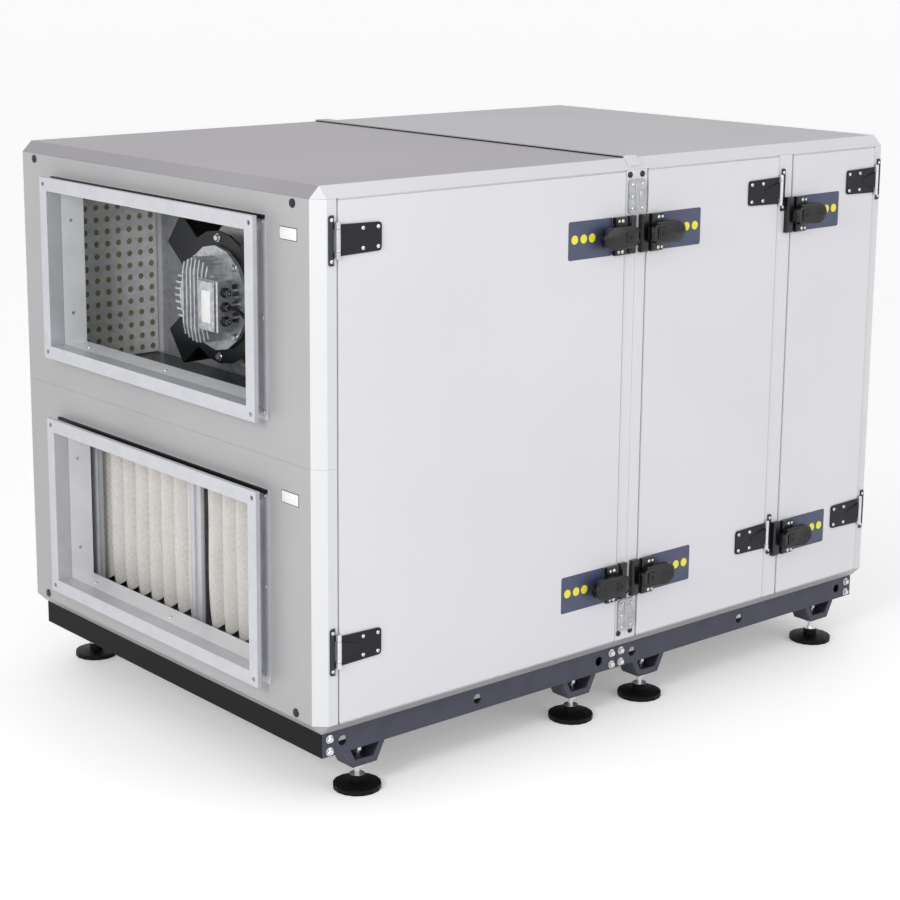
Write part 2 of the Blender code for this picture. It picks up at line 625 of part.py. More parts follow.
def base_frame(side):
    """Rectangular frame of steel channel, webs outwards, with round holes along its side rails."""
    low_x, high_x = span(side, MODULE_GAP, MODULE_LENGTH - BASE_INSET)
    low_y, high_y = FRONT_Y + BASE_INSET, BACK_Y - BASE_INSET
    top = CASING_Z - SEAT
    sheet, depth = CHANNEL_SHEET, CHANNEL_DEPTH
    profile = [(0, BASE_Z), (0, top), (depth, top), (depth, top - sheet), (sheet, top - sheet),
               (sheet, BASE_Z + sheet), (depth, BASE_Z + sheet), (depth, BASE_Z)]
    rings = [[(low_x + inset, low_y + inset, z), (high_x - inset, low_y + inset, z),
              (high_x - inset, high_y - inset, z), (low_x + inset, high_y - inset, z)] for inset, z in profile]
    frame = lofted(f"base_frame_{letter(side)}", rings, "base_dark", True)
    outer = MODULE_LENGTH - BASE_INSET
    middle_z = BASE_Z + BASE_HEIGHT / 2
    for distance in (outer - RAIL_HOLE_END, outer / 2, RAIL_HOLE_END):
        cut(frame, rod("rail_hole", (side * distance, low_y - PAST, middle_z),
                       (side * distance, high_y + PAST, middle_z), RAIL_HOLE_R))
    return frame


def bracket_outline(x, start, end, bottom, inset):
    """The bracket's tapered outline between two heights, drawn in by inset from its slanted legs."""
    points = []
    for z, order in ((start, (-1, 1)), (end, (1, -1))):
        share = (z - bottom) / BRACKET_HEIGHT
        half = (BRACKET_BOTTOM + (BRACKET_TOP - BRACKET_BOTTOM) * share) / 2 - inset
        points += [(x + sign * half, z) for sign in order]
    return points


def foot(name, x, y):
    """Levelling foot in one piece: folded bracket, threaded spindle, two nuts and a round pad."""
    top = BASE_Z - SEAT
    bottom = BASE_Z - BRACKET_HEIGHT
    half = BRACKET_DEPTH / 2
    bracket = prism(name, bracket_outline(x, bottom, top, bottom, 0), "Y", y - half, y + half, "plastic_black")
    window = bracket_outline(x, bottom + BRACKET_FLANGE, top + PAST, bottom, BRACKET_FLANGE)
    inside = bracket_outline(x, bottom + BRACKET_SHEET, top + PAST, bottom, BRACKET_SHEET)
    cut(bracket,
        prism("window", window, "Y", y - half - PAST, y + half + PAST),
        prism("inside", inside, "Y", y - half + BRACKET_SHEET, y + half - BRACKET_SHEET))
    nut_z = bottom + SPINDLE_RISE
    pad = turned("pad", [(0, 0), (PAD_R, 0), (PAD_R, PAD_RIM), (PAD_NECK_R, PAD_RIM + PAD_CROWN),
                         (PAD_NECK_R, PAD_NECK), (0, PAD_NECK)],
                 (x, y, 0), (0, 0, 1), MEDIUM_ROUND, "plastic_black")
    return unite(bracket,
                 rod("nut", (x, y, bottom - NUT_HEIGHT), (x, y, bottom + BRACKET_SHEET / 2), NUT_R, 6),
                 rod("spindle", (x, y, PAD_NECK - BITE), (x, y, nut_z - BITE), SPINDLE_R, 8),
                 rod("top_nut", (x, y, nut_z - TOP_NUT_HEIGHT), (x, y, nut_z), TOP_NUT_R, 6),
                 pad)


def feet():
    front = FRONT_Y + BASE_INSET + FOOT_SETBACK
    back = BACK_Y - BASE_INSET - FOOT_SETBACK
    for side in (-1, 1):
        for place, distance in (("end", MODULE_LENGTH - FOOT_FROM_END), ("joint", FOOT_FROM_JOINT)):
            for row, y in (("front", front), ("back", back)):
                foot(f"foot_{letter(side)}_{place}_{row}", side * distance, y)


def strip_form(name, bottom, top, low_x, high_x):
    """A layer over the roof between two heights, bent down over the front and back chamfers."""
    fall = math.sqrt(0.5)
    lines = []
    for lift in (bottom, top):
        bend = CHAMFER - lift * math.tan(math.pi / 8)
        tip = CHAMFER - fall * (STRIP_TONGUE + lift)
        tip_z = TOP_Z + fall * (lift - STRIP_TONGUE)
        lines.append([(FRONT_Y + tip, tip_z), (FRONT_Y + bend, TOP_Z + lift),
                      (BACK_Y - bend, TOP_Z + lift), (BACK_Y - tip, tip_z)])
    under, over = lines
    return prism(name, under + over[::-1], "X", low_x, high_x)


def joint_strip():
    """Cover strip over the roof joint: it belongs to roof B and lies on roof A."""
    half = STRIP_WIDTH / 2
    unite(bpy.data.objects["roof_b"],
          strip_form("strip", SEAT, STRIP_RISE, -half, half),
          strip_form("strip_seat", -BITE, SEAT + BITE, MODULE_GAP, half - BITE))


def joining_plates():
    """A plate over the joint posts near each end of the joint, its right edge bulging."""
    half, corner = PLATE_WIDTH / 2, PLATE_CORNER
    back = FRONT_Y - SEAT
    for level, low in (("lower", CASING_Z + PLATE_FROM_EDGE),
                       ("upper", TOP_Z - PLATE_FROM_EDGE - PLATE_HEIGHT)):
        high = low + PLATE_HEIGHT
        straight = PLATE_HEIGHT - 2 * corner
        side = [(half + PLATE_BULGE * math.sin(math.pi * step / 6), low + corner + straight * step / 6)
                for step in range(1, 6)]
        outline = (arc((corner - half, low + corner), corner, math.pi, 1.5 * math.pi, 3)
                   + arc((half - corner, low + corner), corner, -math.pi / 2, 0, 3) + side
                   + arc((half - corner, high - corner), corner, 0, math.pi / 2, 3)
                   + arc((corner - half, high - corner), corner, math.pi / 2, math.pi, 3))
        prism(f"joining_plate_{level}", outline, "Y", back - PLATE_THICK, back, "galvanised")


def fin_outline():
    """Section of the motor's housing: parallel fins on four sides, ending on a round outline."""
    side = []
    half = FIN_SHEET / 2
    for index in range(FIN_COUNT):
        offset = (index - (FIN_COUNT - 1) / 2) * FIN_PITCH
        root = math.sqrt(MOTOR_CORE_R ** 2 - (abs(offset) + half) ** 2) - FIN_ROOT
        tip = math.sqrt(MOTOR_R ** 2 - (abs(offset) + half) ** 2)
        side += [(offset - half, root), (offset - half, tip), (offset + half, tip), (offset + half, root)]
    outline = []
    for quarter in range(4):
        turn = -quarter * math.pi / 2
        outline += [(a * math.cos(turn) - b * math.sin(turn), a * math.sin(turn) + b * math.cos(turn))
                    for a, b in side]
    return outline


def fan(side, name, plate_x, centre_z, low_z, high_z):
    """A plug fan: inlet plate across the cell, impeller, motor and the arms that hold the motor.

    plate_x is the inlet plate's place and side the way from it to the motor.
    """
    centre = Vector((plate_x, CENTRE_Y, centre_z))
    ahead = Vector((side, 0, 0))
    inner = CASING_WIDTH / 2 - WALL - SEAT
    plate_span = sorted((plate_x, plate_x + side * FAN_PLATE))
    plate = box(f"fan_plate_{name}", (plate_span[0], CENTRE_Y - inner, low_z),
                (plate_span[1], CENTRE_Y + inner, high_z), "galvanised")
    throat = INLET_R - INLET_ROLL
    cut(plate, rod("inlet", centre - ahead * PAST, centre + ahead * (FAN_PLATE + PAST), throat, LARGE_ROUND))
    ring = [(INLET_R, FAN_PLATE - BITE), (INLET_R, FAN_PLATE + INLET_SHEET), (throat, INLET_DEPTH),
            (throat - INLET_SHEET, INLET_DEPTH), (throat - INLET_SHEET, FAN_PLATE - BITE)]
    unite(plate, turned("inlet_ring", ring, centre, ahead, LARGE_ROUND, "galvanised"))
    motor_back = FAN_PLATE + IMPELLER_GAP + IMPELLER_WIDTH + MOTOR_TAIL_GAP
    fan_support(name, centre, ahead)
    motor(name, centre, ahead, motor_back)
    impeller(name, centre, ahead, motor_back)


def fan_support(name, centre, ahead):
    """Ring behind the motor's flange with four arms bent back to the inlet plate."""
    front = FAN_PLATE_X - SUPPORT_RING_X
    back = front - SUPPORT_SHEET
    hole = MOTOR_R + SUPPORT_INSET * 4
    profile = [(SUPPORT_RING_R, front), (SUPPORT_RING_R, back), (hole, back), (hole, front)]
    ring = turned(f"fan_support_{name}", profile, centre, ahead, LARGE_ROUND, "support_black")
    near, far = front - SUPPORT_INSET, back + SUPPORT_INSET
    start = hole + PAST
    outline = [(far, start), (near, start), (near, SUPPORT_REACH), (FAN_PLATE + SEAT, SUPPORT_REACH),
               (FAN_PLATE + SEAT, SUPPORT_REACH - SUPPORT_LEG), (far, SUPPORT_REACH - SUPPORT_LEG)]
    for angle in (SUPPORT_ANGLE, math.pi - SUPPORT_ANGLE, math.pi + SUPPORT_ANGLE, -SUPPORT_ANGLE):
        arm = prism("arm", [(ahead.x * x, r) for x, r in outline], "Z", -SUPPORT_WIDTH / 2, SUPPORT_WIDTH / 2)
        arm.data.transform(Matrix.Translation(centre) @ Matrix.Rotation(angle, 4, "X"))
        unite(ring, arm)
    return ring


def motor_rib(centre, ahead, offset, front):
    """Upright rib across the front shield, in line with the fins above and below it."""
    reach = math.sqrt(MOTOR_R ** 2 - (abs(offset) + FIN_SHEET / 2) ** 2) - BITE
    root = centre.x + ahead.x * (front - MOTOR_SHIELD - BITE)
    slope = centre.x + ahead.x * (front - RIB_RISE / 2)
    crown = centre.x + ahead.x * front
    flat = reach * (1 - RIB_FALL)
    outline = [(root, -reach), (slope, -reach), (crown, -flat), (crown, flat), (slope, reach), (root, reach)]
    low = centre.y + offset - FIN_SHEET / 2
    return prism("rib", [(x, centre.z + z) for x, z in outline], "Y", low, low + FIN_SHEET)


def terminal_box(centre, ahead, front):
    """Terminal box at the motor's -Y side with a row of cable glands."""
    lid_x = centre.x + ahead.x * (front + TERMINAL_FRONT)
    low_y = centre.y - TERMINAL_OUT
    high_y = low_y + TERMINAL_WIDTH
    low_z, high_z = centre.z - TERMINAL_HEIGHT / 2, centre.z + TERMINAL_HEIGHT / 2
    outline = [(low_y, low_z), (high_y, low_z), (high_y, high_z), (low_y, high_z)]
    back_x = lid_x - ahead.x * TERMINAL_LENGTH
    made = prism("terminals", outline, "X", lid_x, back_x, "motor_cast", TERMINAL_EASE)
    gland_x = lid_x - ahead.x * TERMINAL_LENGTH / 2
    for index in range(GLAND_COUNT):
        z = centre.z + (index - (GLAND_COUNT - 1) / 2) * GLAND_PITCH
        unite(made, rod("gland", (gland_x, low_y - GLAND_LENGTH, z), (gland_x, low_y + BITE, z), GLAND_R, 8))
    return made


def motor(name, centre, ahead, back):
    """Cast motor: finned housing, ribbed front, bolting flange, terminal box and bored tail."""
    front = FAN_PLATE_X - MOTOR_FRONT_X
    shield = front - RIB_RISE
    flange = FAN_PLATE_X - SUPPORT_RING_X + SEAT
    bore = SHAFT_R + BEARING_CLEARANCE
    shell = [(0, back + SHAFT_IN_MOTOR), (bore, back + SHAFT_IN_MOTOR), (bore, back),
             (MOTOR_CORE_R - MOTOR_SHIELD, back), (MOTOR_CORE_R, back + MOTOR_SHIELD),
             (MOTOR_CORE_R, flange), (MOTOR_FLANGE_R, flange), (MOTOR_FLANGE_R, flange + MOTOR_FLANGE),
             (MOTOR_CORE_R, flange + MOTOR_FLANGE), (MOTOR_CORE_R, shield - MOTOR_SHIELD / 2),
             (MOTOR_CORE_R - MOTOR_SHIELD, shield), (0, shield)]
    body = turned(f"motor_{name}", shell, centre, ahead, MEDIUM_ROUND, "motor_cast")
    start = centre + ahead * (flange + MOTOR_FLANGE / 2)
    end = centre + ahead * (front - MOTOR_SHIELD)
    unite(body, prism("fins", [(centre.y + a, centre.z + b) for a, b in fin_outline()], "X", start.x, end.x))
    for index in range(FIN_COUNT):
        unite(body, motor_rib(centre, ahead, (index - (FIN_COUNT - 1) / 2) * FIN_PITCH, front))
    return unite(body, terminal_box(centre, ahead, front))


def smooth_route(points, step):
    """Points read from a smooth curve through the route's own points, about step apart."""
    route = [Vector(point) for point in points]
    ends = [route[0] * 2 - route[1], *route, route[-1] * 2 - route[-2]]
    line = []
    for before, near, far, after in zip(ends, ends[1:], ends[2:], ends[3:]):
        for part in range(8):
            t = part / 8
            line.append(((near * 2) + (far - before) * t + (before * 2 - near * 5 + far * 4 - after) * t ** 2
                         + (near * 3 - before - far * 3 + after) * t ** 3) / 2)
    line.append(route[-1])
    lengths = [0.0]
    for near, far in zip(line, line[1:]):
        lengths.append(lengths[-1] + (far - near).length)
    count = round(lengths[-1] / step)
    read = []
    for index in range(count):
        place = lengths[-1] * index / count
        at = max(i for i, length in enumerate(lengths[:-1]) if length <= place)
        share = (place - lengths[at]) / (lengths[at + 1] - lengths[at])
        read.append(line[at].lerp(line[at + 1], share))
    return read + [route[-1]]


def motor_cable():
    """The motor's cable as a plain tube, hanging between its gland and the inlet plate."""
    data = bpy.data.curves.new("motor_cable", "CURVE")
    data.dimensions = "3D"
    data.bevel_depth = CABLE_R
    data.bevel_resolution = 2
    data.use_fill_caps = True
    route = smooth_route(CABLE_ROUTE, CABLE_STEP)
    spline = data.splines.new("POLY")
    spline.points.add(len(route) - 1)
    for point, place in zip(spline.points, route):
        point.co = (*place, 1.0)
    data.materials.append(PAINT["support_black"])
    made = bpy.data.objects.new("motor_cable", data)
    bpy.context.scene.collection.objects.link(made)
    return made


def impeller(name, centre, ahead, motor_back):
    """Backward-curved impeller: back plate with hub and shaft, front shroud and blades between."""
    front = FAN_PLATE + IMPELLER_GAP
    back = front + IMPELLER_WIDTH
    tip = motor_back + SHAFT_IN_MOTOR - BITE
    hub = motor_back - MOTOR_TAIL_GAP / 4
    wheel = turned(f"impeller_{name}", [(0, back - IMPELLER_SHEET), (IMPELLER_R, back - IMPELLER_SHEET),
                                        (IMPELLER_R, back), (HUB_R, back), (HUB_R, hub), (SHAFT_R, hub),
                                        (SHAFT_R, tip), (0, tip)], centre, ahead, LARGE_ROUND, "panel_light")
    eye = INLET_R + EYE_GAP
    rim = front + SHROUD_CONE
    shroud = [(IMPELLER_R, rim), (IMPELLER_R, rim + IMPELLER_SHEET),
              (eye, front + IMPELLER_SHEET), (eye, front)]
    unite(wheel, turned("shroud", shroud, centre, ahead, LARGE_ROUND, "panel_light"))
    turn = Vector((0, 0, 1)).rotation_difference(ahead).to_matrix().to_4x4()
    for number in range(BLADES):
        start = 2 * math.pi * number / BLADES
        rings = []
        for step in range(BLADE_STEPS + 1):
            share = step / BLADE_STEPS
            radius = BLADE_ROOT_R + (IMPELLER_R - IMPELLER_SHEET / 2 - BLADE_ROOT_R) * share
            angle = start - BLADE_SWEEP * share
            if radius > eye:
                fall = SHROUD_CONE * (radius - eye) / (IMPELLER_R - eye)
            else:
                fall = BLADE_SCOOP * (eye - radius) / (eye - BLADE_ROOT_R)
            edge = front + BITE + fall
            point = Vector((radius * math.cos(angle), radius * math.sin(angle), edge))
            across = Vector((-math.sin(angle), math.cos(angle), 0)) * IMPELLER_SHEET
            length = Vector((0, 0, back - IMPELLER_SHEET / 2 - edge))
            rings.append([point, point + across, point + across + length, point + length])
        blade = lofted("blade", rings, "panel_light", False)
        blade.data.transform(Matrix.Translation(centre) @ turn)
        unite(wheel, blade)
    return wheel


def filter_cassette(name, face_x, side, low_y, high_y, low_z, high_z):
    """A filter cassette: a shallow frame filled with rounded vertical pleats on its dirty side.

    side is the way from the pleats' crowns to the cassette's back.
    """
    start, end = low_y + FILTER_RIM, high_y - FILTER_RIM
    rim_x = sorted((face_x + side * FILTER_RIM_SET, face_x + side * FILTER_DEPTH))
    frame = box(name, (rim_x[0], low_y, low_z), (rim_x[1], high_y, high_z), "filter_media")
    cut(frame, cutter((None, start, low_z + FILTER_RIM), (None, end, high_z - FILTER_RIM)))
    count = round((end - start) / PLEAT_PITCH)
    pitch = (end - start) / count
    grip = FILTER_RIM / 2
    outline = [(FILTER_DEPTH - BITE, end + grip), (FILTER_DEPTH - BITE, start - grip),
               (PLEAT_DEPTH, start - grip)]
    for pleat in range(count):
        for step in range(PLEAT_STEPS):
            angle = math.pi * step / PLEAT_STEPS
            along = start + pitch * (pleat + (1 - math.cos(angle)) / 2)
            outline.append((PLEAT_DEPTH * (1 - math.sin(angle)), along))
    outline += [(PLEAT_DEPTH, end), (PLEAT_DEPTH, end + grip)]
    media = prism("media", [(face_x + side * x, y) for x, y in outline], "Z", low_z + grip, high_z - grip)
    return unite(frame, media)


def exchanger(low, high):
    """Closed cassette with a round wheel opening on each end and a beam across its middle."""
    made = box("exchanger", low, high, "galvanised")
    centre = (Vector(low) + Vector(high)) / 2
    radius = min(high[1] - low[1], high[2] - low[2]) / 2 - WHEEL_MARGIN
    for x, sign in ((low[0], 1), (high[0], -1)):
        mouth = (x - sign * PAST, centre.y, centre.z)
        cut(made, rod("wheel", mouth, (x + sign * WHEEL_RECESS, centre.y, centre.z), radius, LARGE_ROUND))
        ends = sorted((x + sign * WHEEL_RECESS / 4, x + sign * (WHEEL_RECESS + BITE)))
        unite(made, box("beam", (ends[0], low[1] + BITE, centre.z - WHEEL_BEAM / 2),
                        (ends[1], high[1] - BITE, centre.z + WHEEL_BEAM / 2)))
    return made


def inside():
    """Deck between the air paths, exchanger cassette, fans and filters."""
    near_y = FRONT_Y + WALL + DOOR_SEAL
    far_y = BACK_Y - WALL - SEAT
    deck_low, deck_high = MID_Z - DECK / 2, MID_Z + DECK / 2
    floor_z, roof_z = CASING_Z + WALL + SEAT, TOP_Z - WALL - SEAT
    end_x = MODULE_LENGTH - WALL - SEAT
    plate_x = FAN_PLATE_X - MODULE_LENGTH
    exchanger_low = plate_x + EXCHANGER_FROM_FAN
    box("deck_a", (-end_x, near_y, deck_low), (exchanger_low - SEAT, far_y, deck_high), "galvanised")
    box("deck_b", (MODULE_GAP / 2, near_y, deck_low), (end_x, far_y, deck_high), "galvanised")
    exchanger((exchanger_low, near_y, floor_z), (-EXCHANGER_FROM_JOINT, far_y, roof_z))
    upper = (deck_high + SEAT, roof_z)
    lower = (floor_z, deck_low - SEAT)
    fan(-1, "a", plate_x, sum(upper) / 2 - FAN_AXIS_OFFSET, *upper)
    fan(1, "b", FAN_B_X, sum(lower) / 2 - FAN_AXIS_OFFSET, *lower)
    for name, face_x, side, cell in (
            ("a", FILTER_X - MODULE_LENGTH, 1, lower),
            ("b", FILTER_B_X + FILTER_DEPTH, -1, upper)):
        filter_cassette(f"filter_{name}_1", face_x, side, near_y, CENTRE_Y - SEAT, *cell)
        filter_cassette(f"filter_{name}_2", face_x, side, CENTRE_Y + SEAT, far_y, *cell)
    motor_cable()


def build():
    for old in list(bpy.data.objects):
        bpy.data.objects.remove(old)
    make_materials()
    for side in (-1, 1):
        roof_and_floor(side)
        end_panels(side)
        back_panel(side)
        duct_flange(side, "lower", LOWER_DUCT)
        duct_flange(side, "upper", UPPER_DUCT)
        base_frame(side)
    doors_and_posts()
    feet()
    joint_strip()
    joining_plates()
    inside()


build()
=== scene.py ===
"""Looks of a heat recovery ventilation unit.

Finishes for every part, and the small pieces that the solids leave out: screws, bolts, plugs, label
plates, perforated liners, filter media, motor fittings, a roof sealing strip, strips and sheets of painted
shade in gaps and on chamber floors, camera and studio light.
Everything is in metres in the part's own frame: the service doors face -Y and the open end faces -X.
"""
import math
from collections import namedtuple
import bmesh
import bpy
from mathutils import Euler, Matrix, Vector, noise as cloud


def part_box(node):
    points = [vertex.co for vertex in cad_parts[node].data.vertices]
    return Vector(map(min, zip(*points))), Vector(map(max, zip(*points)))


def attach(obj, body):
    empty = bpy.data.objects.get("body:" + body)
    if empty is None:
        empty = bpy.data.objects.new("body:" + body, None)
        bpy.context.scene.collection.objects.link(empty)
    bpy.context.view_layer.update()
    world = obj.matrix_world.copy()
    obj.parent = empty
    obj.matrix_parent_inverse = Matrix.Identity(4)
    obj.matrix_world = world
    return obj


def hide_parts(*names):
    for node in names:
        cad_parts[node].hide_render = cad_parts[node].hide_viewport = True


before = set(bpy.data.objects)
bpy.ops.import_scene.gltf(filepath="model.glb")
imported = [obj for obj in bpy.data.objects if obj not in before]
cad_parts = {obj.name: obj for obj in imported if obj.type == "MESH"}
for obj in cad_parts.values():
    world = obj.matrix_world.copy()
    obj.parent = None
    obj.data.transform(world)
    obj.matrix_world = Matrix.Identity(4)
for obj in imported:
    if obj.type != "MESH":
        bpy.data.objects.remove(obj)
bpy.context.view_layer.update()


def corners(node):
    """Lowest and highest corner of a solid at rest."""
    low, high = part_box(node)
    return Vector(low), Vector(high)


# Places read from the frame
ROOF_LOW, ROOF_HIGH = corners("roof_a")
FLOOR_LOW, FLOOR_HIGH = corners("floor_a")
DECK_LOW, DECK_HIGH = corners("deck_a")
BASE_LOW, BASE_HIGH = corners("base_frame_a")
FRONT_Y, BACK_Y = ROOF_LOW.y, ROOF_HIGH.y
CENTRE_Y = (FRONT_Y + BACK_Y) / 2
CASING_Z, TOP_Z = FLOOR_LOW.z, ROOF_HIGH.z
UNIT_END = -ROOF_LOW.x
WALL = ROOF_HIGH.z - ROOF_LOW.z
DOOR_BACK = corners("door_1")[1].y

# Doors and hinges
CHAMFER = 0.020
DOOR_PROUD = 0.002
DOOR_FACE = FRONT_Y - DOOR_PROUD
LEAF = 0.0025
BARREL_R = 0.0045
HINGE_PROUD = 0.0055
BARREL_END = 0.0290            # hinge's middle to the ring at each end of its barrel
DOOR_SCREW_X = (0.052, 0.084)  # hinge line to the screws of the wide leaf
DOOR_SCREW_RISE = 0.0165
FRAME_SCREW_X = 0.0110         # hinge line to the screws of the narrow leaf
FRAME_SCREW_RISE = 0.034

# Latches and their label plates
LATCH_BASE = 0.012
LATCH_BASE_WIDTH = 0.032
LATCH_SCREWS = ((0.017, 0.0036), (0.0265, 0.0030))  # from the door's latch edge, and radius
LATCH_SCREW_RISE = 0.028
HUB_FROM_EDGE = 0.012
HUB_BOSSES = ((0.0115, 0.0008, 0.0030), (0.0080, 0.0014, 0.0020))  # half width, height, corner
HANDLE_GAP = 0.0135            # handle's back in front of the door's face
HANDLE_THICK = 0.014
GRIP_R = 0.0205
GRIP_X = 0.043                 # handle's axis to the middle of its round grip
NOSE = 0.026
LABEL_REACH = 0.1425           # label plate's far end to the door's latch edge
LABEL_HEIGHT = 0.070
LABEL_SHEET = 0.0004
LABEL_CORNER = 0.004
DISCS = (0.0835, 0.1045, 0.1270)  # from the door's latch edge
DISC_R = 0.0082
DISC_SHEET = 0.0002

# Duct frames, base and feet
FLANGE_WIDTH = 0.025
FLANGE_SHEET = 0.0025
REVEAL = 0.020                 # wall's face to the screws in the opening's lining
PLATE_DROPS = (0.0825, 0.5310)  # roof to the bare plates beside the duct openings
POST_PLUG_X = (-0.0175, 0.0140)
PANEL_PLUG_Y = 0.0655          # casing's front and back to the plugs of the end panels
PANEL_PLUG_Z = 0.031           # casing's underside and roof to the same plugs
BOLT_X = (-0.694, -0.0125, 0.0125, 0.694)
BOLT_RISES = (0.0095, 0.0322)
BRACKET_HEIGHT = 0.0357
PAD_TOP = 0.026
SPINDLE_R = 0.0110

# Perforated sheet and filters
SHEET = 0.0008
SHEET_GAP = 0.0030             # wall to the perforated sheet in front of it
HOLE_PITCH = 0.025
HOLE_R = 0.0061
NET_PITCH = 0.014
PLEAT_PITCH = 0.047
PLEAT_DEPTH = 0.036
PLEAT_STEPS, PLEAT_ROWS = 14, 26
PLEAT_FULLNESS = 0.62          # 1 is a plain sine, less is rounder
PLEAT_PINCH = 0.16             # share of the depth lost at both ends
PLEAT_LEAN = 0.004
PLEAT_DENT = 0.0016
FOOT_LIFT = 0.024              # how far the folds between pleats rise at the foot
FILTER_RIM = 0.012
RIM_SHEET = 0.0012

# Screws and the motor's fittings
SCREW_HEAD = 0.0019
WASHER = 0.0015
TERMINAL_FRONT = 0.036         # terminal box along the motor's axis
TERMINAL_WIDTH = 0.057
TERMINAL_HEIGHT = 0.094
LID = 0.0030
LID_SCREW = 0.0075             # lid's edge to its screws
GLAND_PITCH = 0.026
GLAND_LENGTH = 0.016
GLAND_NUT = [(0.0098, 0), (0.0098, 0.0050), (0.0086, 0.0060), (0.0075, 0.0060)]
GLAND_CAP = [(0.0080, 0.0060), (0.0080, 0.0115), (0.0072, 0.0150), (0.0050, 0.0161), (0.0040, 0.0161),
             (0, 0.0158)]
SHIELD_BOLTS = (0.0905, 0.0085, (45, 135, 225, 315))  # circle's radius, height on the ring, angles
RING_BOLTS = (0.1115, 0.0, (0, 90, 180, 270))

# Camera, fitted to the photo
CAMERA_PLACE = (-2.695, -3.0721, 1.4675)
CAMERA_ANGLES = (78.190, -0.2885, -39.820)
CAMERA_LENS = 81.80
CAMERA_SHIFT = (0.0363, -0.0978)

# Light: lamps as place, aim, size and watts; the sky's light on the object, and what the floor adds
# to reach the sky's white
KEY_LAMP = ((1.6, -4.0, 1.8), (0.3, 0, 0.5), 2.4, 28)
END_LAMP = ((-3.2, -1.3, 1.7), (-0.6, 0.1, 0.85), 1.0, 42)
SKY_LIGHT = 0.72
FLOOR_GLOW = 0.24
FLOOR_REACH = 45

# Motor cable: the route of its solid, from a gland of fan A to the inlet plate
CABLE_R = 0.0035
CABLE_ROUTE = (
    (-0.6410, -0.0876, 0.8100), (-0.6410, -0.1060, 0.8097), (-0.6407, -0.1235, 0.8055),
    (-0.6398, -0.1390, 0.7960), (-0.6375, -0.1515, 0.7815), (-0.6330, -0.1610, 0.7640),
    (-0.6255, -0.1680, 0.7460), (-0.6145, -0.1730, 0.7300), (-0.6000, -0.1765, 0.7175),
    (-0.5825, -0.1790, 0.7090), (-0.5630, -0.1808, 0.7050), (-0.5430, -0.1822, 0.7052),
    (-0.5230, -0.1832, 0.7090), (-0.5035, -0.1838, 0.7145), (-0.4840, -0.1840, 0.7195),
    (-0.4640, -0.1840, 0.7222), (-0.4363, -0.1840, 0.7230))


# Finishes
Look = namedtuple("Look", "colour rough metal mottle size shine", defaults=(0.5,))
WHITE = Look("#dbdadf", 0.40, 0.0, 0.020, 0.40)
CORNER = Look("#d6d7d8", 0.40, 0.0, 0.020, 0.40)
# The openings' lining: a light sheet, painted lighter still as painted light for the shade in the reveals.
LIT_LINING = Look("#e4e5e9", 0.36, 0.10, 0.04, 0.05)
GREY = Look("#ababac", 0.38, 0.10, 0.045, 0.30)
# Painted shade: both roofs are one paint, given two colours for the light that falls on them; roof A is
# painted darker than roof B.
SHADED_ROOF_A = Look("#a29ea4", 0.48, 0.12, 0.050, 0.35)
# Painted shade: the chamfer at each roof's end is painted darker than the roof.
SHADED_ROOF_EDGE = Look("#949197", 0.40, 0.12, 0.050, 0.35)
SHADED_ROOF_B = Look("#b4b2b7", 0.48, 0.12, 0.050, 0.35)
# A light grey sheet and the inner faces, painted near white as painted light for the dim chambers inside the
# unit.
LIT_INNER = Look("#e8eae8", 0.36, 0.05, 0.06, 0.03)
# Painted shade: dark grey of the sheet on the chamber floors, which lie in shade; the bare plates' rims share
# it.
FLOOR_SHADE_AND_RIM = Look("#343a39", 0.26, 0.40, 0.25, 0.05)
FLANGE = Look("#c6c7cc", 0.34, 0.25, 0.04, 0.05)
GALVANISED = Look("#b4b6b9", 0.36, 0.55, 0.12, 0.012)
ZINC = Look("#d4d5d7", 0.24, 0.90, 0.10, 0.004)
SLATE = Look("#4b4c58", 0.45, 0.0, 0.10, 0.05, 0.15)
RAIL_END = Look("#0c0d0f", 0.55, 0.0, 0.12, 0.05, 0.30)
BLACK = Look("#0d0e10", 0.26, 0.0, 0.20, 0.02, 0.40)
HINGE_GREY = Look("#15161a", 0.36, 0.0, 0.12, 0.02, 0.25)
# Black of seals, pads, cable and grommet; the same colour is also the painted shade of the gap between filter
# cassettes.
BLACK_RUBBER_AND_SHADE = Look("#0c0c0d", 0.50, 0.0, 0.25, 0.01, 0.20)
# Painted shade: the grey of the strips in the door gaps, set to the gaps' soft shade line.
GAP_SHADE_GREY = Look("#c2c2c7", 0.55, 0.0, 0.08, 0.01)
CAST = Look("#bcbec1", 0.32, 0.60, 0.24, 0.010)
ENAMEL = Look("#101214", 0.32, 0.10, 0.20, 0.03, 0.40)
PAPER = Look("#e2e2e1", 0.50, 0.0, 0.03, 0.02)
LABEL = Look("#434a66", 0.40, 0.0, 0.08, 0.02)
YELLOW = Look("#f1e72c", 0.42, 0.0, 0.05, 0.01)
FOAM = Look("#9a9b74", 0.92, 0.0, 0.25, 0.004)
WHEEL = Look("#dcded9", 0.38, 0.10, 0.06, 0.03)
FLOOR_LOOK = Look("#f6f6f7", 0.60, 0.0, 0.010, 0.60)
FLEECE_DARK, FLEECE_LIGHT, FLEECE_STAIN, NET = "#c6c2bd", "#e6e3df", "#b3ada6", "#ebe9e5"
CRYSTAL = (0.05, 0.055, 0.06)

# Margins between a finish's zone and the edge it follows
STEP = 0.0006
FINE_STEP = 0.0004
FINEST_STEP = 0.0002


def linear(colour):
    """A colour written as #rrggbb in Blender's linear values."""
    parts = [int(colour[at:at + 2], 16) / 255 for at in (1, 3, 5)]
    return [c / 12.92 if c <= 0.04045 else ((c + 0.055) / 1.055) ** 2.4 for c in parts]


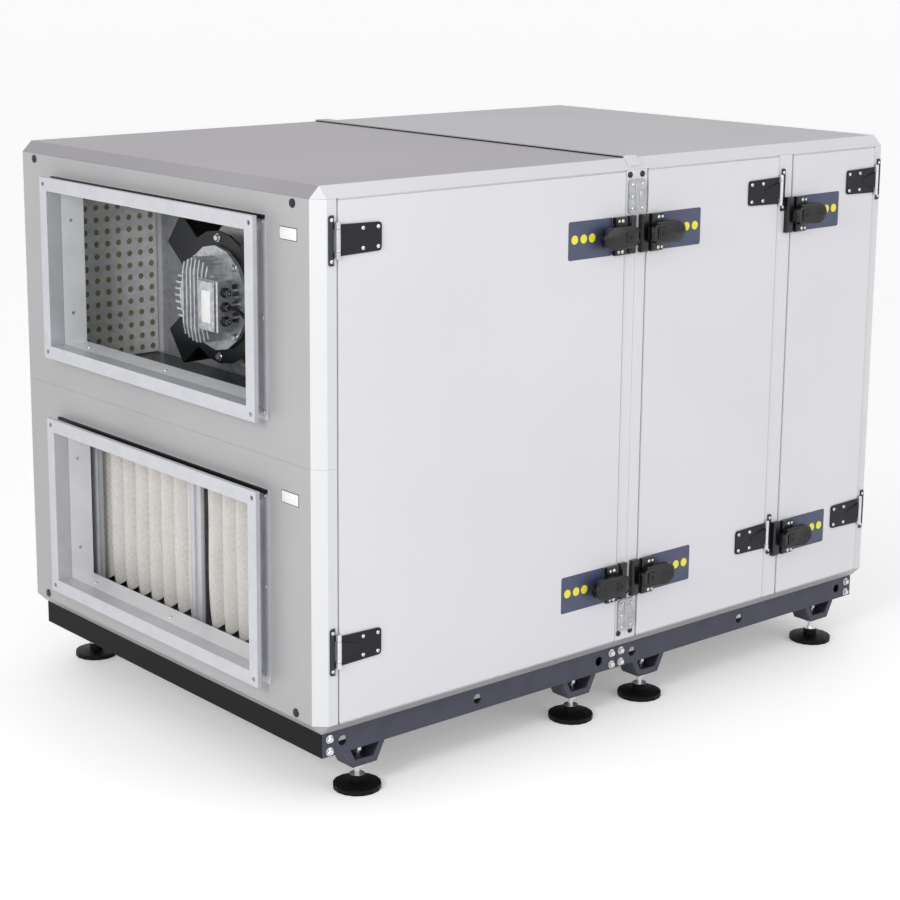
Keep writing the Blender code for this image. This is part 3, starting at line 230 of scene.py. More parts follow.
def add(tree, kind, **settings):
    """Adds a shader node; a setting is one of its properties, or an input with _ for each space."""
    node = tree.nodes.new("ShaderNode" + kind)
    for key, value in settings.items():
        if key[0].islower():
            setattr(node, key, value)
        else:
            node.inputs[key.replace("_", " ")].default_value = value
    return node


def speckle(tree, place, size, detail=3.0):
    """Noise from 0 to 1 with spots about size across."""
    node = add(tree, "TexNoise", Scale=1.0 / size, Detail=detail)
    tree.links.new(place, node.inputs["Vector"])
    return node.outputs[0]


def math_node(tree, operation, first, second):
    """One operation on two values; each is a socket or a number."""
    node = add(tree, "Math", operation=operation)
    for socket, value in zip(node.inputs, (first, second)):
        if isinstance(value, (int, float)):
            socket.default_value = value
        else:
            tree.links.new(value, socket)
    return node.outputs[0]


def remap(tree, value, low, high, to_low, to_high):
    """Brings a value from low..high to to_low..to_high, and keeps it there."""
    node = add(tree, "MapRange", From_Min=low, From_Max=high, To_Min=to_low, To_Max=to_high)
    tree.links.new(value, node.inputs["Value"])
    return node.outputs["Result"]


def blend_colour(tree, factor, first, second):
    """Colour that goes from first to second; each is a socket or three linear values."""
    node = add(tree, "Mix", data_type="RGBA")
    tree.links.new(factor, node.inputs[0])
    for socket, value in ((node.inputs[6], first), (node.inputs[7], second)):
        if isinstance(value, bpy.types.NodeSocket):
            tree.links.new(value, socket)
        else:
            socket.default_value = (*value, 1.0)
    return node.outputs[2]


def blend_value(tree, factor, first, second):
    """Value that goes from first to second; each is a socket or a number."""
    node = add(tree, "Mix", data_type="FLOAT")
    tree.links.new(factor, node.inputs[0])
    for socket, value in ((node.inputs[2], first), (node.inputs[3], second)):
        if isinstance(value, bpy.types.NodeSocket):
            tree.links.new(value, socket)
        else:
            socket.default_value = value
    return node.outputs[0]


def mottled(tree, place, look):
    """The look's colour with soft lighter and darker patches."""
    colour = linear(look.colour)
    dark = [c * (1 - look.mottle) for c in colour]
    light = [min(1.0, c * (1 + look.mottle)) for c in colour]
    return blend_colour(tree, remap(tree, speckle(tree, place, look.size), 0.3, 0.7, 0, 1), dark, light)


def spangle(tree, place, size):
    """Zinc crystals: a random value for each cell."""
    cells = add(tree, "TexVoronoi", Scale=1.0 / size)
    tree.links.new(place, cells.inputs["Vector"])
    split = add(tree, "SeparateColor")
    tree.links.new(cells.outputs["Color"], split.inputs[0])
    return split.outputs[0]


def beyond(axis, limit, above=True):
    """Mask of the surface past a limit along one of the part's axes."""
    operation = "GREATER_THAN" if above else "LESS_THAN"

    def mask(tree, place):
        split = add(tree, "SeparateXYZ")
        tree.links.new(place, split.inputs[0])
        return math_node(tree, operation, split.outputs["XYZ".index(axis)], limit)
    return mask


def around(x, y, radius):
    """Mask of the surface near an upright axis."""
    def mask(tree, place):
        flat = add(tree, "VectorMath", operation="MULTIPLY")
        tree.links.new(place, flat.inputs[0])
        flat.inputs[1].default_value = (1, 1, 0)
        away = add(tree, "VectorMath", operation="DISTANCE")
        tree.links.new(flat.outputs[0], away.inputs[0])
        away.inputs[1].default_value = (x, y, 0)
        return math_node(tree, "LESS_THAN", away.outputs["Value"], radius)
    return mask


def material(name, look, grain=0.0012, depth=0.00002, crystals=0.0, shade=0.16, zones=()):
    """A procedural finish. zones are (mask, look) pairs that lie over the first look in turn."""
    made = bpy.data.materials.new(name)
    made.use_nodes = True
    tree = made.node_tree
    shader = tree.nodes["Principled BSDF"]
    place = add(tree, "TexCoord").outputs["Object"]
    colour = mottled(tree, place, look)
    if crystals:
        darker = remap(tree, spangle(tree, place, crystals), 0, 1, 0, shade)
        colour = blend_colour(tree, darker, colour, CRYSTAL)
    patches = speckle(tree, place, max(look.size / 2, 0.01))
    rough = remap(tree, patches, 0.3, 0.7, look.rough - 0.025, look.rough + 0.025)
    metal = look.metal
    for mask, other in zones:
        factor = mask(tree, place)
        colour = blend_colour(tree, factor, colour, mottled(tree, place, other))
        rough = blend_value(tree, factor, rough, other.rough)
        if other.metal != look.metal or isinstance(metal, bpy.types.NodeSocket):
            metal = blend_value(tree, factor, metal, other.metal)
    tree.links.new(colour, shader.inputs["Base Color"])
    tree.links.new(rough, shader.inputs["Roughness"])
    if isinstance(metal, bpy.types.NodeSocket):
        tree.links.new(metal, shader.inputs["Metallic"])
    else:
        shader.inputs["Metallic"].default_value = metal
    shader.inputs["Specular IOR Level"].default_value = look.shine
    bump = add(tree, "Bump", Strength=1.0, Distance=depth)
    tree.links.new(speckle(tree, place, grain, 2.0), bump.inputs["Height"])
    tree.links.new(bump.outputs[0], shader.inputs["Normal"])
    return made


def media_material():
    """Creased filter fleece under a net of diamonds, laid out by the fleece's own lengths."""
    made = bpy.data.materials.new("filter_fleece")
    made.use_nodes = True
    tree = made.node_tree
    shader = tree.nodes["Principled BSDF"]
    coordinates = add(tree, "TexCoord")
    place = coordinates.outputs["Object"]
    split = add(tree, "SeparateXYZ")
    tree.links.new(coordinates.outputs["UV"], split.inputs[0])
    threads = []
    for operation in ("ADD", "SUBTRACT"):
        slant = math_node(tree, operation, split.outputs[0], split.outputs[1])
        wave = math_node(tree, "PINGPONG", math_node(tree, "DIVIDE", slant, NET_PITCH), 0.5)
        threads.append(remap(tree, wave, 0.035, 0.075, 1, 0))
    net = math_node(tree, "MAXIMUM", *threads)
    creases = remap(tree, speckle(tree, place, 0.0015, 5.0), 0.3, 0.7, 0, 1)
    fleece = blend_colour(tree, creases, linear(FLEECE_DARK), linear(FLEECE_LIGHT))
    spots = remap(tree, speckle(tree, place, 0.08), 0.4, 0.8, 0, 0.4)
    stained = blend_colour(tree, spots, fleece, linear(FLEECE_STAIN))
    tree.links.new(blend_colour(tree, net, stained, linear(NET)), shader.inputs["Base Color"])
    height = math_node(tree, "ADD", math_node(tree, "MULTIPLY", net, 0.8), speckle(tree, place, 0.0025, 5.0))
    bump = add(tree, "Bump", Strength=1.0, Distance=0.0009)
    tree.links.new(height, bump.inputs["Height"])
    tree.links.new(bump.outputs[0], shader.inputs["Normal"])
    shader.inputs["Roughness"].default_value = 0.93
    shader.inputs["Sheen Weight"].default_value = 0.25
    shader.inputs["Specular IOR Level"].default_value = 0.2
    return made


PAINT = {
    "zinc": material("zinc_plated", ZINC, 0.0006, 0.00001),
    "black": material("black_plastic", BLACK, 0.0005, 0.00003),
    # Painted shade: grey strips in the door gaps.
    "seal_and_gap_shade": material("painted_gap_shade", GAP_SHADE_GREY, 0.0008, 0.00004),
    # Also the painted shade of the gap between filter cassettes.
    "rubber": material("black_rubber", BLACK_RUBBER_AND_SHADE, 0.0008, 0.00004),
    "paper": material("bare_plate", PAPER, 0.0006, 0.00001),
    "label": material("label_plate", LABEL, 0.0006, 0.00001),
    "yellow": material("yellow_print", YELLOW, 0.0006, 0.00001),
    "foam": material("insulation", FOAM, 0.0022, 0.0006),
    # Painted light: the perforated sheet's colour is pushed near white for the dim chambers.
    "liner": material("perforated_sheet", LIT_INNER, 0.003, 0.00002, 0.010),
    "flange": material("flange_steel", FLANGE, 0.003, 0.00002, 0.010, 0.05),
    # Painted shade: the dark sheet on the chamber floors; the plates' dark rims share it.
    "pan": material("chamber_pan", FLOOR_SHADE_AND_RIM, 0.003, 0.00004, 0.015, 0.30),
    "galvanised": material("galvanised_sheet", GALVANISED, 0.003, 0.00002, 0.009),
    "cast": material("cast_aluminium", CAST, 0.0009, 0.00010),
    "media": media_material(),
}


def painted(name, look, zones=()):
    """Powder-coated sheet."""
    return material(name, look, 0.0016, 0.000015, zones=zones)


def dress(node, made):
    """Gives a solid its finish."""
    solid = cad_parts[node]
    solid.data.materials.clear()
    solid.data.materials.append(made)


def dress_solids():
    """Finishes of the solids that stay as they are."""
    # The inner faces take the liner's colour, pushed near white as painted light.
    inner = (beyond("Y", FRONT_Y + 0.003), LIT_INNER)
    door = painted("door_white", WHITE, (inner, (beyond("Y", DOOR_FACE - STEP, False), BLACK)))
    post = painted("post_white", WHITE, (inner, (beyond("Y", FRONT_Y - STEP, False), BLACK)))
    panel = painted("panel_grey", GREY)
    lips = ((beyond("Y", FRONT_Y + CHAMFER + STEP, False), WHITE),
            (beyond("Y", BACK_Y - CHAMFER - STEP), WHITE))
    # Painted shade on the chamfers at the unit's ends.
    edges = [(beyond("X", side * (UNIT_END - CHAMFER - STEP), side > 0), SHADED_ROOF_EDGE) for side in (-1, 1)]
    # Each roof's colour is painted shade, roof A darker than roof B, though both are one paint.
    roofs = {"roof_a": painted("roof_grey_painted_shade_a", SHADED_ROOF_A, (edges[0], *lips)),
             "roof_b": painted("roof_grey_b", SHADED_ROOF_B, (edges[1], *lips))}
    back = painted("panel_white", WHITE)
    rail_ends = ((beyond("X", BASE_LOW.x + STEP, False), RAIL_END),
                 (beyond("X", -BASE_LOW.x - STEP), RAIL_END))
    base = material("base_slate", SLATE, 0.0012, 0.00003, zones=rail_ends)
    support = material("support_enamel", ENAMEL, 0.0010, 0.00003)
    wheel = material("impeller", WHEEL, 0.0012, 0.00002)
    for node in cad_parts:
        if node.startswith("door"):
            dress(node, door)
        elif node.startswith("joint_post"):
            dress(node, post)
        elif node.startswith(("mullion", "end_")):
            dress(node, hinged_material(node, post if node == "mullion" else panel))
        elif node.startswith("roof"):
            dress(node, roofs[node])
        elif node.startswith("floor"):
            dress(node, panel)
        elif node.startswith("back"):
            dress(node, back)
        elif node.startswith("hinge"):
            _, number, level = node.split("_")
            barrel = around(hinge_line(int(number), level)[0], FRONT_Y - HINGE_PROUD, BARREL_R + FINEST_STEP)
            dress(node, material(f"finish_{node}", HINGE_GREY, 0.0006, 0.00002, zones=((barrel, ZINC),)))
        elif node.startswith(("handle", "motor_cable")):
            dress(node, PAINT["black"])
        elif node.startswith("duct_flange"):
            dress(node, PAINT["flange"])
        elif node.startswith("base"):
            dress(node, base)
        elif node.startswith("fan_support"):
            dress(node, support)
        elif node.startswith("impeller"):
            dress(node, wheel)
        elif node.startswith("motor"):
            dress(node, PAINT["cast"])
        elif node.startswith("foot"):
            dress(node, foot_material(node))
        else:
            dress(node, PAINT["galvanised"])


def hinge_line(number, level="upper"):
    """X of a door's hinge line, and the way from it to the door's middle."""
    low, high = corners(f"hinge_{number}_{level}")
    toward = 1 if number == 1 else -1
    return (low.x if toward > 0 else high.x) + toward * BARREL_R, toward


def hinged_material(node, plain):
    """A mullion or end panel with its narrow hinge leaves and their ears, where it has any."""
    low, high = corners(node)
    lines = [hinge_line(number)[0] for number in (1, 2, 3)]
    lines = [x for x in lines if low.x - 0.02 < x < high.x + 0.02 and low.y < FRONT_Y - 0.001]
    if not lines:
        return plain
    look, lip = (WHITE, WHITE) if node == "mullion" else (GREY, CORNER)
    zones = [(beyond("Y", FRONT_Y + CHAMFER + FINE_STEP, False), lip),
             (beyond("Y", FRONT_Y - STEP, False), HINGE_GREY)]
    if node.startswith("end_"):
        inward = -1 if node.endswith("a") else 1
        # The opening's lining: a light sheet, painted lighter still as painted light for the shade in the
        # reveals.
        zones.insert(0, (beyond("X", inward * (UNIT_END - STEP), inward < 0), LIT_LINING))
    for x in lines:
        zones.append((around(x, FRONT_Y - HINGE_PROUD, BARREL_R + FINEST_STEP), ZINC))
    return painted(f"finish_{node}", look, zones)


def foot_material(node):
    """Slate bracket, zinc spindle and nuts, black pad."""
    low, high = corners(node)
    x, y = (low.x + high.x) / 2, (low.y + high.y) / 2
    return material(f"finish_{node}", SLATE, 0.0012, 0.00003, zones=(
        (around(x, y, SPINDLE_R), ZINC),
        (beyond("Z", high.z - BRACKET_HEIGHT - FINE_STEP, False), ZINC),
        (beyond("Z", PAD_TOP - FINEST_STEP, False), BLACK_RUBBER_AND_SHADE)))


# Mesh helpers
def piece(name, work, paint, body="root", sharp=35):
    """Turns a bmesh into a piece of the part that rides on a body; sharp=0 leaves it flat-shaded."""
    bmesh.ops.recalc_face_normals(work, faces=work.faces)
    mesh = bpy.data.meshes.new(name)
    work.to_mesh(mesh)
    work.free()
    mesh.materials.append(PAINT[paint])
    if sharp:
        mesh.shade_smooth()
        mesh.set_sharp_from_angle(angle=math.radians(sharp))
    made = bpy.data.objects.new(name, mesh)
    bpy.context.scene.collection.objects.link(made)
    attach(made, body)
    return made


def turn(work, at, axis, profile, sides=16):
    """Adds a turned form: profile is (radius, height) pairs, the height along axis from at."""
    spin = Vector((0, 0, 1)).rotation_difference(Vector(axis)).to_matrix()
    rings = []
    for radius, height in profile:
        count = sides if radius else 1
        ring = []
        for step in range(count):
            angle = 2 * math.pi * step / count
            point = Vector((radius * math.cos(angle), radius * math.sin(angle), height))
            ring.append(work.verts.new(Vector(at) + spin @ point))
        rings.append(ring)
    for near, far in zip(rings, rings[1:]):
        for step in range(sides):
            following = (step + 1) % sides
            if len(near) == 1:
                work.faces.new((near[0], far[following], far[step]))
            elif len(far) == 1:
                work.faces.new((near[step], near[following], far[0]))
            else:
                work.faces.new((near[step], near[following], far[following], far[step]))


def slab(work, low, high, ease=0.0004):
    """Adds a block with eased edges."""
    low, high = Vector(low), Vector(high)
    made = bmesh.ops.create_cube(work, size=1.0)["verts"]
    for vert in made:
        vert.co = Vector(low[i] + (vert.co[i] + 0.5) * (high[i] - low[i]) for i in range(3))
    edges = list({edge for vert in made for edge in vert.link_edges})
    bmesh.ops.bevel(work, geom=edges, offset=ease, segments=2, affect="EDGES", profile=0.5)


def rounded(work, low, high, corner, steps=4):
    """Adds a thin plate in the XZ plane with round corners; low and high are its two corners."""
    low, high = Vector(low), Vector(high)
    outline = []
    for x, z, start in ((high.x - corner, low.z + corner, -90), (high.x - corner, high.z - corner, 0),
                        (low.x + corner, high.z - corner, 90), (low.x + corner, low.z + corner, 180)):
        for step in range(steps + 1):
            angle = math.radians(start + 90 * step / steps)
            outline.append((x + corner * math.cos(angle), z + corner * math.sin(angle)))
    near = [work.verts.new((x, low.y, z)) for x, z in outline]
    far = [work.verts.new((x, high.y, z)) for x, z in outline]
    work.faces.new(near)
    work.faces.new(far[::-1])
    for step in range(len(outline)):
        following = (step + 1) % len(outline)
        work.faces.new((near[step], near[following], far[following], far[step]))


def screw(work, at, axis, radius=0.0032, head=SCREW_HEAD):
    """Adds a pan-head screw with a round-edged head and a socket."""
    turn(work, at, axis, [
        (radius, 0), (radius, head * 0.45), (radius * 0.86, head * 0.85), (radius * 0.5, head),
        (radius * 0.46, head), (radius * 0.42, head * 0.35), (0, head * 0.35)], 14)


def hex_bolt(work, at, axis, washer_r=0.009, head_r=0.0065, head=0.0055):
    """Adds a washer and a hexagon head with chamfered corners."""
    at, axis = Vector(at), Vector(axis)
    turn(work, at, axis, [(washer_r, 0), (washer_r, 0.0012), (washer_r - 0.0003, WASHER), (0, WASHER)], 20)
    base = at + axis * WASHER
    turn(work, base, axis, [(head_r, 0), (head_r, head * 0.8), (head_r * 0.86, head), (0, head)], 6)


def plug(work, at, axis, radius):
    """Adds a round cap with a low dome and a rim."""
    turn(work, at, axis, [(radius, 0), (radius, 0.0010), (radius * 0.92, 0.0017), (radius * 0.80, 0.0013),
                          (radius * 0.55, 0.0019), (0, 0.0021)], 24)


def perforated(name, corner, across, up, size, body="root", sides=12):
    """A thin sheet with a square pattern of round holes; size is its length along across and up."""
    corner, across, up = Vector(corner), Vector(across), Vector(up)
    columns, rows = (max(1, round(length / HOLE_PITCH)) for length in size)
    pitch = (size[0] / columns, size[1] / rows)
    work = bmesh.new()
    for column in range(columns):
        for row in range(rows):
            centre = corner + across * pitch[0] * (column + 0.5) + up * pitch[1] * (row + 0.5)
            inner, outer = [], []
            for step in range(sides):
                angle = 2 * math.pi * step / sides
                a, b = math.cos(angle), math.sin(angle)
                reach = 0.5 / max(abs(a), abs(b))
                inner.append(work.verts.new(centre + across * HOLE_R * a + up * HOLE_R * b))
                edge = centre + across * pitch[0] * reach * a + up * pitch[1] * reach * b
                outer.append(work.verts.new(edge))
            for step in range(sides):
                following = (step + 1) % sides
                work.faces.new((inner[step], outer[step], outer[following], inner[following]))
    bmesh.ops.remove_doubles(work, verts=work.verts, dist=0.00002)
    sheet = piece(name, work, "liner", body, sharp=0)
    thick = sheet.modifiers.new("sheet", "SOLIDIFY")
    thick.thickness = SHEET
    thick.offset = 0
    return sheet


def insulation(name, low, high, body="root"):
    """Foam board behind a perforated sheet."""
    work = bmesh.new()
    slab(work, low, high, 0.0002)
    piece(name, work, "foam", body)


# Camera and light
def seen_rays(tree):
    """1 for the rays of camera, mirrors and glass, 0 for the rays that light the object."""
    rays = add(tree, "LightPath").outputs
    mirrored = math_node(tree, "MAXIMUM", rays["Is Glossy Ray"], rays["Is Transmission Ray"])
    return math_node(tree, "MAXIMUM", rays["Is Camera Ray"], mirrored)


def place_camera():
    """Camera at the photo's angle."""
    lens = bpy.data.cameras.new("camera")
    lens.lens = CAMERA_LENS
    lens.shift_x, lens.shift_y = CAMERA_SHIFT
    lens.clip_end = 150
    camera = bpy.data.objects.new("camera", lens)
    camera.location = CAMERA_PLACE
    camera.rotation_euler = Euler([math.radians(angle) for angle in CAMERA_ANGLES])
    bpy.context.scene.collection.objects.link(camera)
    bpy.context.scene.camera = camera
    bpy.context.scene.view_settings.view_transform = "Standard"


def lay_floor():
    """Pale studio floor that looks as white as the sky and doesn't light the object more for it."""
    work = bmesh.new()
    bmesh.ops.create_grid(work, x_segments=2, y_segments=2, size=FLOOR_REACH)
    mesh = bpy.data.meshes.new("studio_floor")
    work.to_mesh(mesh)
    work.free()
    ground = bpy.data.objects.new("studio_floor", mesh)
    ground.location = (0, 0, -0.0005)
    pale = material("studio_floor", FLOOR_LOOK, 0.01, 0.00001)
    shader = pale.node_tree.nodes["Principled BSDF"]
    shader.inputs["Emission Color"].default_value = (1.0, 1.0, 1.0, 1.0)
    glow = remap(pale.node_tree, seen_rays(pale.node_tree), 0, 1, 0, FLOOR_GLOW)
    pale.node_tree.links.new(glow, shader.inputs["Emission Strength"])
    mesh.materials.append(pale)
    bpy.context.scene.collection.objects.link(ground)


def light_studio():
    """Two soft lamps and a white sky, which is dimmer for the rays that light the object."""
    for name, (place, target, size, power) in (("key", KEY_LAMP), ("end", END_LAMP)):
        light = bpy.data.lights.new(name, "AREA")
        light.shape = "SQUARE"
        light.size = size
        light.energy = power
        lamp = bpy.data.objects.new(name, light)
        lamp.location = place
        lamp.rotation_euler = (Vector(target) - Vector(place)).to_track_quat("-Z", "Y").to_euler()
        bpy.context.scene.collection.objects.link(lamp)
    world = bpy.data.worlds.new("studio")
    world.use_nodes = True
    sky = world.node_tree.nodes["Background"]
    sky.inputs["Color"].default_value = (1.0, 1.0, 1.0, 1.0)
    strength = remap(world.node_tree, seen_rays(world.node_tree), 0, 1, SKY_LIGHT, 1.0)
    world.node_tree.links.new(strength, sky.inputs["Strength"])
    bpy.context.scene.world = world


# Outside pieces
def handle_axis(number, level):
    """Where a handle turns, and the way from there to its grip."""
    low, high = corners(f"handle_{number}_{level}")
    toward = -1 if number == 1 else 1
    hub_x = (high.x if toward < 0 else low.x) + toward * NOSE
    return Vector((hub_x, low.y, (low.z + high.z) / 2)), toward


def handle_outline():
    """A handle's outline from its axis, along and up: round grip, straight sides and a narrower nose."""
    outline = []
    for step in range(17):
        angle = math.radians(-90 + 180 * step / 16)
        outline.append((GRIP_X + GRIP_R * math.cos(angle), GRIP_R * math.sin(angle)))
    side = GRIP_R - 0.0006
    nose = [(-0.007, side), (-0.012, side - 0.0015), (-0.014, 0.0135),
            (-NOSE + 0.002, 0.0130), (-NOSE, 0.0110)]
    return outline + nose + [(along, -rise) for along, rise in nose[::-1]]


def handle_shell(number, level):
    """Moulded handle over its solid, with a sunk face, square bosses round its axis, and its screw."""
    hub, toward = handle_axis(number, level)
    outline = handle_outline()
    back, front = DOOR_FACE - HANDLE_GAP, DOOR_FACE - HANDLE_GAP - HANDLE_THICK
    work = bmesh.new()
    near = [work.verts.new((hub.x + toward * along, back, hub.z + rise)) for along, rise in outline]
    far = [work.verts.new((hub.x + toward * along, front, hub.z + rise)) for along, rise in outline]
    work.faces.new(near)
    face = work.faces.new(far[::-1])
    for step in range(len(outline)):
        following = (step + 1) % len(outline)
        work.faces.new((near[step], near[following], far[following], far[step]))
    bmesh.ops.bevel(work, geom=list(face.edges), offset=0.0035, segments=3, affect="EDGES", profile=0.6)
    flat = max(work.faces, key=lambda one: -one.calc_center_median().y)
    bmesh.ops.inset_region(work, faces=[flat], thickness=0.0012, depth=-0.0007)
    bmesh.ops.inset_region(work, faces=[flat], thickness=0.0030, depth=0.0009)
    for half, rise, corner in HUB_BOSSES:
        rounded(work, (hub.x - half, front - rise, hub.z - half),
                (hub.x + half, front + 0.0006, hub.z + half), corner)
    turn(work, (hub.x + toward * GRIP_X, front + 0.0003, hub.z), (0, -1, 0),
         [(0.0030, 0), (0.0030, 0.0007), (0.0022, 0.0010), (0.0020, 0.0003), (0, 0.0003)], 16)
    shell = piece(f"handle_shell_{number}_{level}", work, "black", f"handle_{number}_{level}", sharp=40)
    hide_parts(f"handle_{number}_{level}")
    screws = bmesh.new()
    screw(screws, (hub.x, front - 0.0008, hub.z), (0, -1, 0), 0.0042, 0.0011)
    piece(f"handle_screw_{number}_{level}", screws, "rubber", f"handle_{number}_{level}")


def latches():
    """Handles, label plates with their discs, and the screws of the latch bases."""
    for number in (1, 2, 3):
        labels, discs, screws = (bmesh.new() for _ in range(3))
        for level in ("lower", "upper"):
            handle_shell(number, level)
            hub, toward = handle_axis(number, level)
            edge = hub.x - toward * HUB_FROM_EDGE
            low_x, high_x = sorted((edge + toward * LATCH_BASE_WIDTH, edge + toward * LABEL_REACH))
            half = LABEL_HEIGHT / 2
            rounded(labels, (low_x, DOOR_FACE - LABEL_SHEET, hub.z - half), (high_x, DOOR_FACE, hub.z + half),
                    LABEL_CORNER)
            for distance in DISCS:
                turn(discs, (edge + toward * distance, DOOR_FACE - LABEL_SHEET, hub.z + 0.002), (0, -1, 0),
                     [(DISC_R, 0), (DISC_R, DISC_SHEET), (0, DISC_SHEET)], 28)
            for rise in (-LATCH_SCREW_RISE, LATCH_SCREW_RISE):
                for along, radius in LATCH_SCREWS:
                    at = (edge + toward * along, DOOR_FACE - LATCH_BASE, hub.z + rise)
                    screw(screws, at, (0, -1, 0), radius, 0.0009)
        piece(f"label_plates_{number}", labels, "label", f"door_{number}")
        piece(f"label_marks_{number}", discs, "yellow", f"door_{number}")
        piece(f"latch_screws_{number}", screws, "zinc", f"door_{number}")


def hinges():
    """Screws and barrel rings of the six hinges."""
    for number in (1, 2, 3):
        on_door, on_frame = bmesh.new(), bmesh.new()
        for level in ("lower", "upper"):
            low, high = corners(f"hinge_{number}_{level}")
            axis_x, toward = hinge_line(number, level)
            middle = (low.z + high.z) / 2
            for along in DOOR_SCREW_X:
                for rise in (-DOOR_SCREW_RISE, DOOR_SCREW_RISE):
                    at = (axis_x + toward * along, DOOR_FACE - LEAF - 0.0003, middle + rise)
                    screw(on_door, at, (0, -1, 0), 0.0036)
            for rise in (-FRAME_SCREW_RISE, FRAME_SCREW_RISE):
                at = (axis_x - toward * FRAME_SCREW_X, FRONT_Y - LEAF, middle + rise)
                screw(on_frame, at, (0, -1, 0), 0.0034)
            for sign in (-1, 1):
                turn(on_frame, (axis_x, low.y + BARREL_R, middle + sign * BARREL_END), (0, 0, sign),
                     [(0.0040, 0), (0.0040, 0.0008), (0.0030, 0.0018), (0, 0.0020)], 16)
        piece(f"hinge_screws_{number}", on_door, "zinc", f"door_{number}")
        piece(f"hinge_frame_screws_{number}", on_frame, "zinc")


def joint_details():
    """Screws and ridges of the joining plates, plugs of the posts and end panels, black sealing strip along
    the roof strip.
    """
    screws, ridges = bmesh.new(), bmesh.new()
    for level in ("lower", "upper"):
        low, high = corners(f"joining_plate_{level}")
        middle = (low.z + high.z) / 2
        for x, z in ((low.x + 0.009, high.z - 0.009), (high.x - 0.012, high.z - 0.009),
                     (low.x + 0.008, middle),
                     (low.x + 0.009, low.z + 0.009), (high.x - 0.012, low.z + 0.009)):
            screw(screws, (x, low.y, z), (0, -1, 0), 0.0034)
        slab(ridges, (low.x + 0.0155, low.y - 0.0012, low.z + 0.006),
             (low.x + 0.0195, low.y + 0.0005, high.z - 0.006), 0.0010)
        slab(ridges, (high.x - 0.0200, low.y - 0.0010, middle - 0.010),
             (high.x - 0.0060, low.y + 0.0005, middle + 0.010), 0.0009)
    piece("joining_plate_screws", screws, "zinc")
    piece("joining_plate_ridges", ridges, "galvanised")
    plugs = bmesh.new()
    for x in POST_PLUG_X:
        for z in (CASING_Z + 0.034, TOP_Z - 0.029):
            plug(plugs, (x, FRONT_Y, z), (0, -1, 0), 0.0058)
    for side in (-1, 1):
        for y in (FRONT_Y + PANEL_PLUG_Y, BACK_Y - PANEL_PLUG_Y):
            for z in (CASING_Z + PANEL_PLUG_Z, TOP_Z - PANEL_PLUG_Z):
                plug(plugs, (side * UNIT_END, y, z), (side, 0, 0), 0.0078)
    piece("cover_plugs", plugs, "black")
    seal_and_gap_shade = bmesh.new()
    slab(seal_and_gap_shade, (-0.0175, FRONT_Y + 0.021, TOP_Z - 0.0002), (-0.0150, BACK_Y - 0.021, TOP_Z + 0.0022), 0.0006)
    piece("roof_seal", seal_and_gap_shade, "rubber")


def door_gap_shades():
    """Grey strips in the gap above each door, and below it: painted shade, coloured as the gap's soft shade
    line.
    """
    work = bmesh.new()
    for number in (1, 2, 3):
        low, high = corners(f"door_{number}")
        for bottom, top in ((high.z + 0.0002, TOP_Z - CHAMFER), (CASING_Z + CHAMFER, low.z - 0.0002)):
            slab(work, (low.x + 0.001, DOOR_FACE + 0.0008, bottom), (high.x - 0.001, FRONT_Y + 0.010, top),
                 0.0002)
    piece("door_gap_shades", work, "seal_and_gap_shade")


def duct_frames():
    """Screws of the duct frames and of the openings' linings, and a black strip in each frame's top groove.
    """
    screws, dark_strip = bmesh.new(), bmesh.new()
    for side, letter in ((-1, "a"), (1, "b")):
        for level in ("lower", "upper"):
            low, high = corners(f"duct_flange_{level}_{letter}")
            wall_x = low.x if side > 0 else high.x
            inset = FLANGE_WIDTH / 2
            for y in (low.y + inset, high.y - inset):
                for z in (low.z + inset, (low.z + high.z) / 2, high.z - inset):
                    screw(screws, (wall_x + side * FLANGE_SHEET, y, z), (side, 0, 0), 0.0036)
            reveal_x = wall_x - side * REVEAL
            sill, head = low.z + FLANGE_WIDTH, high.z - FLANGE_WIDTH
            for share in (0.12, 0.5, 0.88):
                y = low.y + (high.y - low.y) * share
                screw(screws, (reveal_x, y, sill), (0, 0, 1), 0.0034)
                screw(screws, (reveal_x, y, head), (0, 0, -1), 0.0034)
            for share in (0.2, 0.8):
                z = sill + (head - sill) * share
                screw(screws, (reveal_x, low.y + FLANGE_WIDTH, z), (0, 1, 0), 0.0034)
                screw(screws, (reveal_x, high.y - FLANGE_WIDTH, z), (0, -1, 0), 0.0034)
            ends = sorted((wall_x + side * 0.0024, wall_x + side * 0.0080))
            slab(dark_strip, (ends[0], low.y + 0.003, high.z - 0.0075),
                 (ends[1], high.y - 0.003, high.z - 0.0005), 0.0010)
    piece("duct_frame_screws", screws, "zinc")
    piece("duct_frame_dark_strip", dark_strip, "rubber")


def end_plates():
    """Bare plates beside the duct openings."""
    work, rims = bmesh.new(), bmesh.new()
    for drop in PLATE_DROPS:
        z = TOP_Z - drop
        slab(rims, (-UNIT_END - 0.0004, FRONT_Y + 0.053, z - 0.011),
             (-UNIT_END, FRONT_Y + 0.102, z + 0.011), 0.0003)
        slab(work, (-UNIT_END - 0.0007, FRONT_Y + 0.0542, z - 0.0098),
             (-UNIT_END - 0.0003, FRONT_Y + 0.1008, z + 0.0098), 0.0003)
    piece("bare_plates", work, "paper")
    # The rims' dark border shares the finish of the chamber floors' painted shade.
    piece("bare_plate_rims", rims, "pan")


def base_bolts():
    """Bolts through the base frame's rails at its ends and at the joint."""
    work = bmesh.new()
    for x in BOLT_X:
        for rise in BOLT_RISES:
            for y, outward in ((BASE_LOW.y, -1), (BASE_HIGH.y, 1)):
                hex_bolt(work, (x, y, BASE_LOW.z + rise), (0, outward, 0), 0.0078, 0.0058, 0.0050)
    piece("base_bolts", work, "zinc")


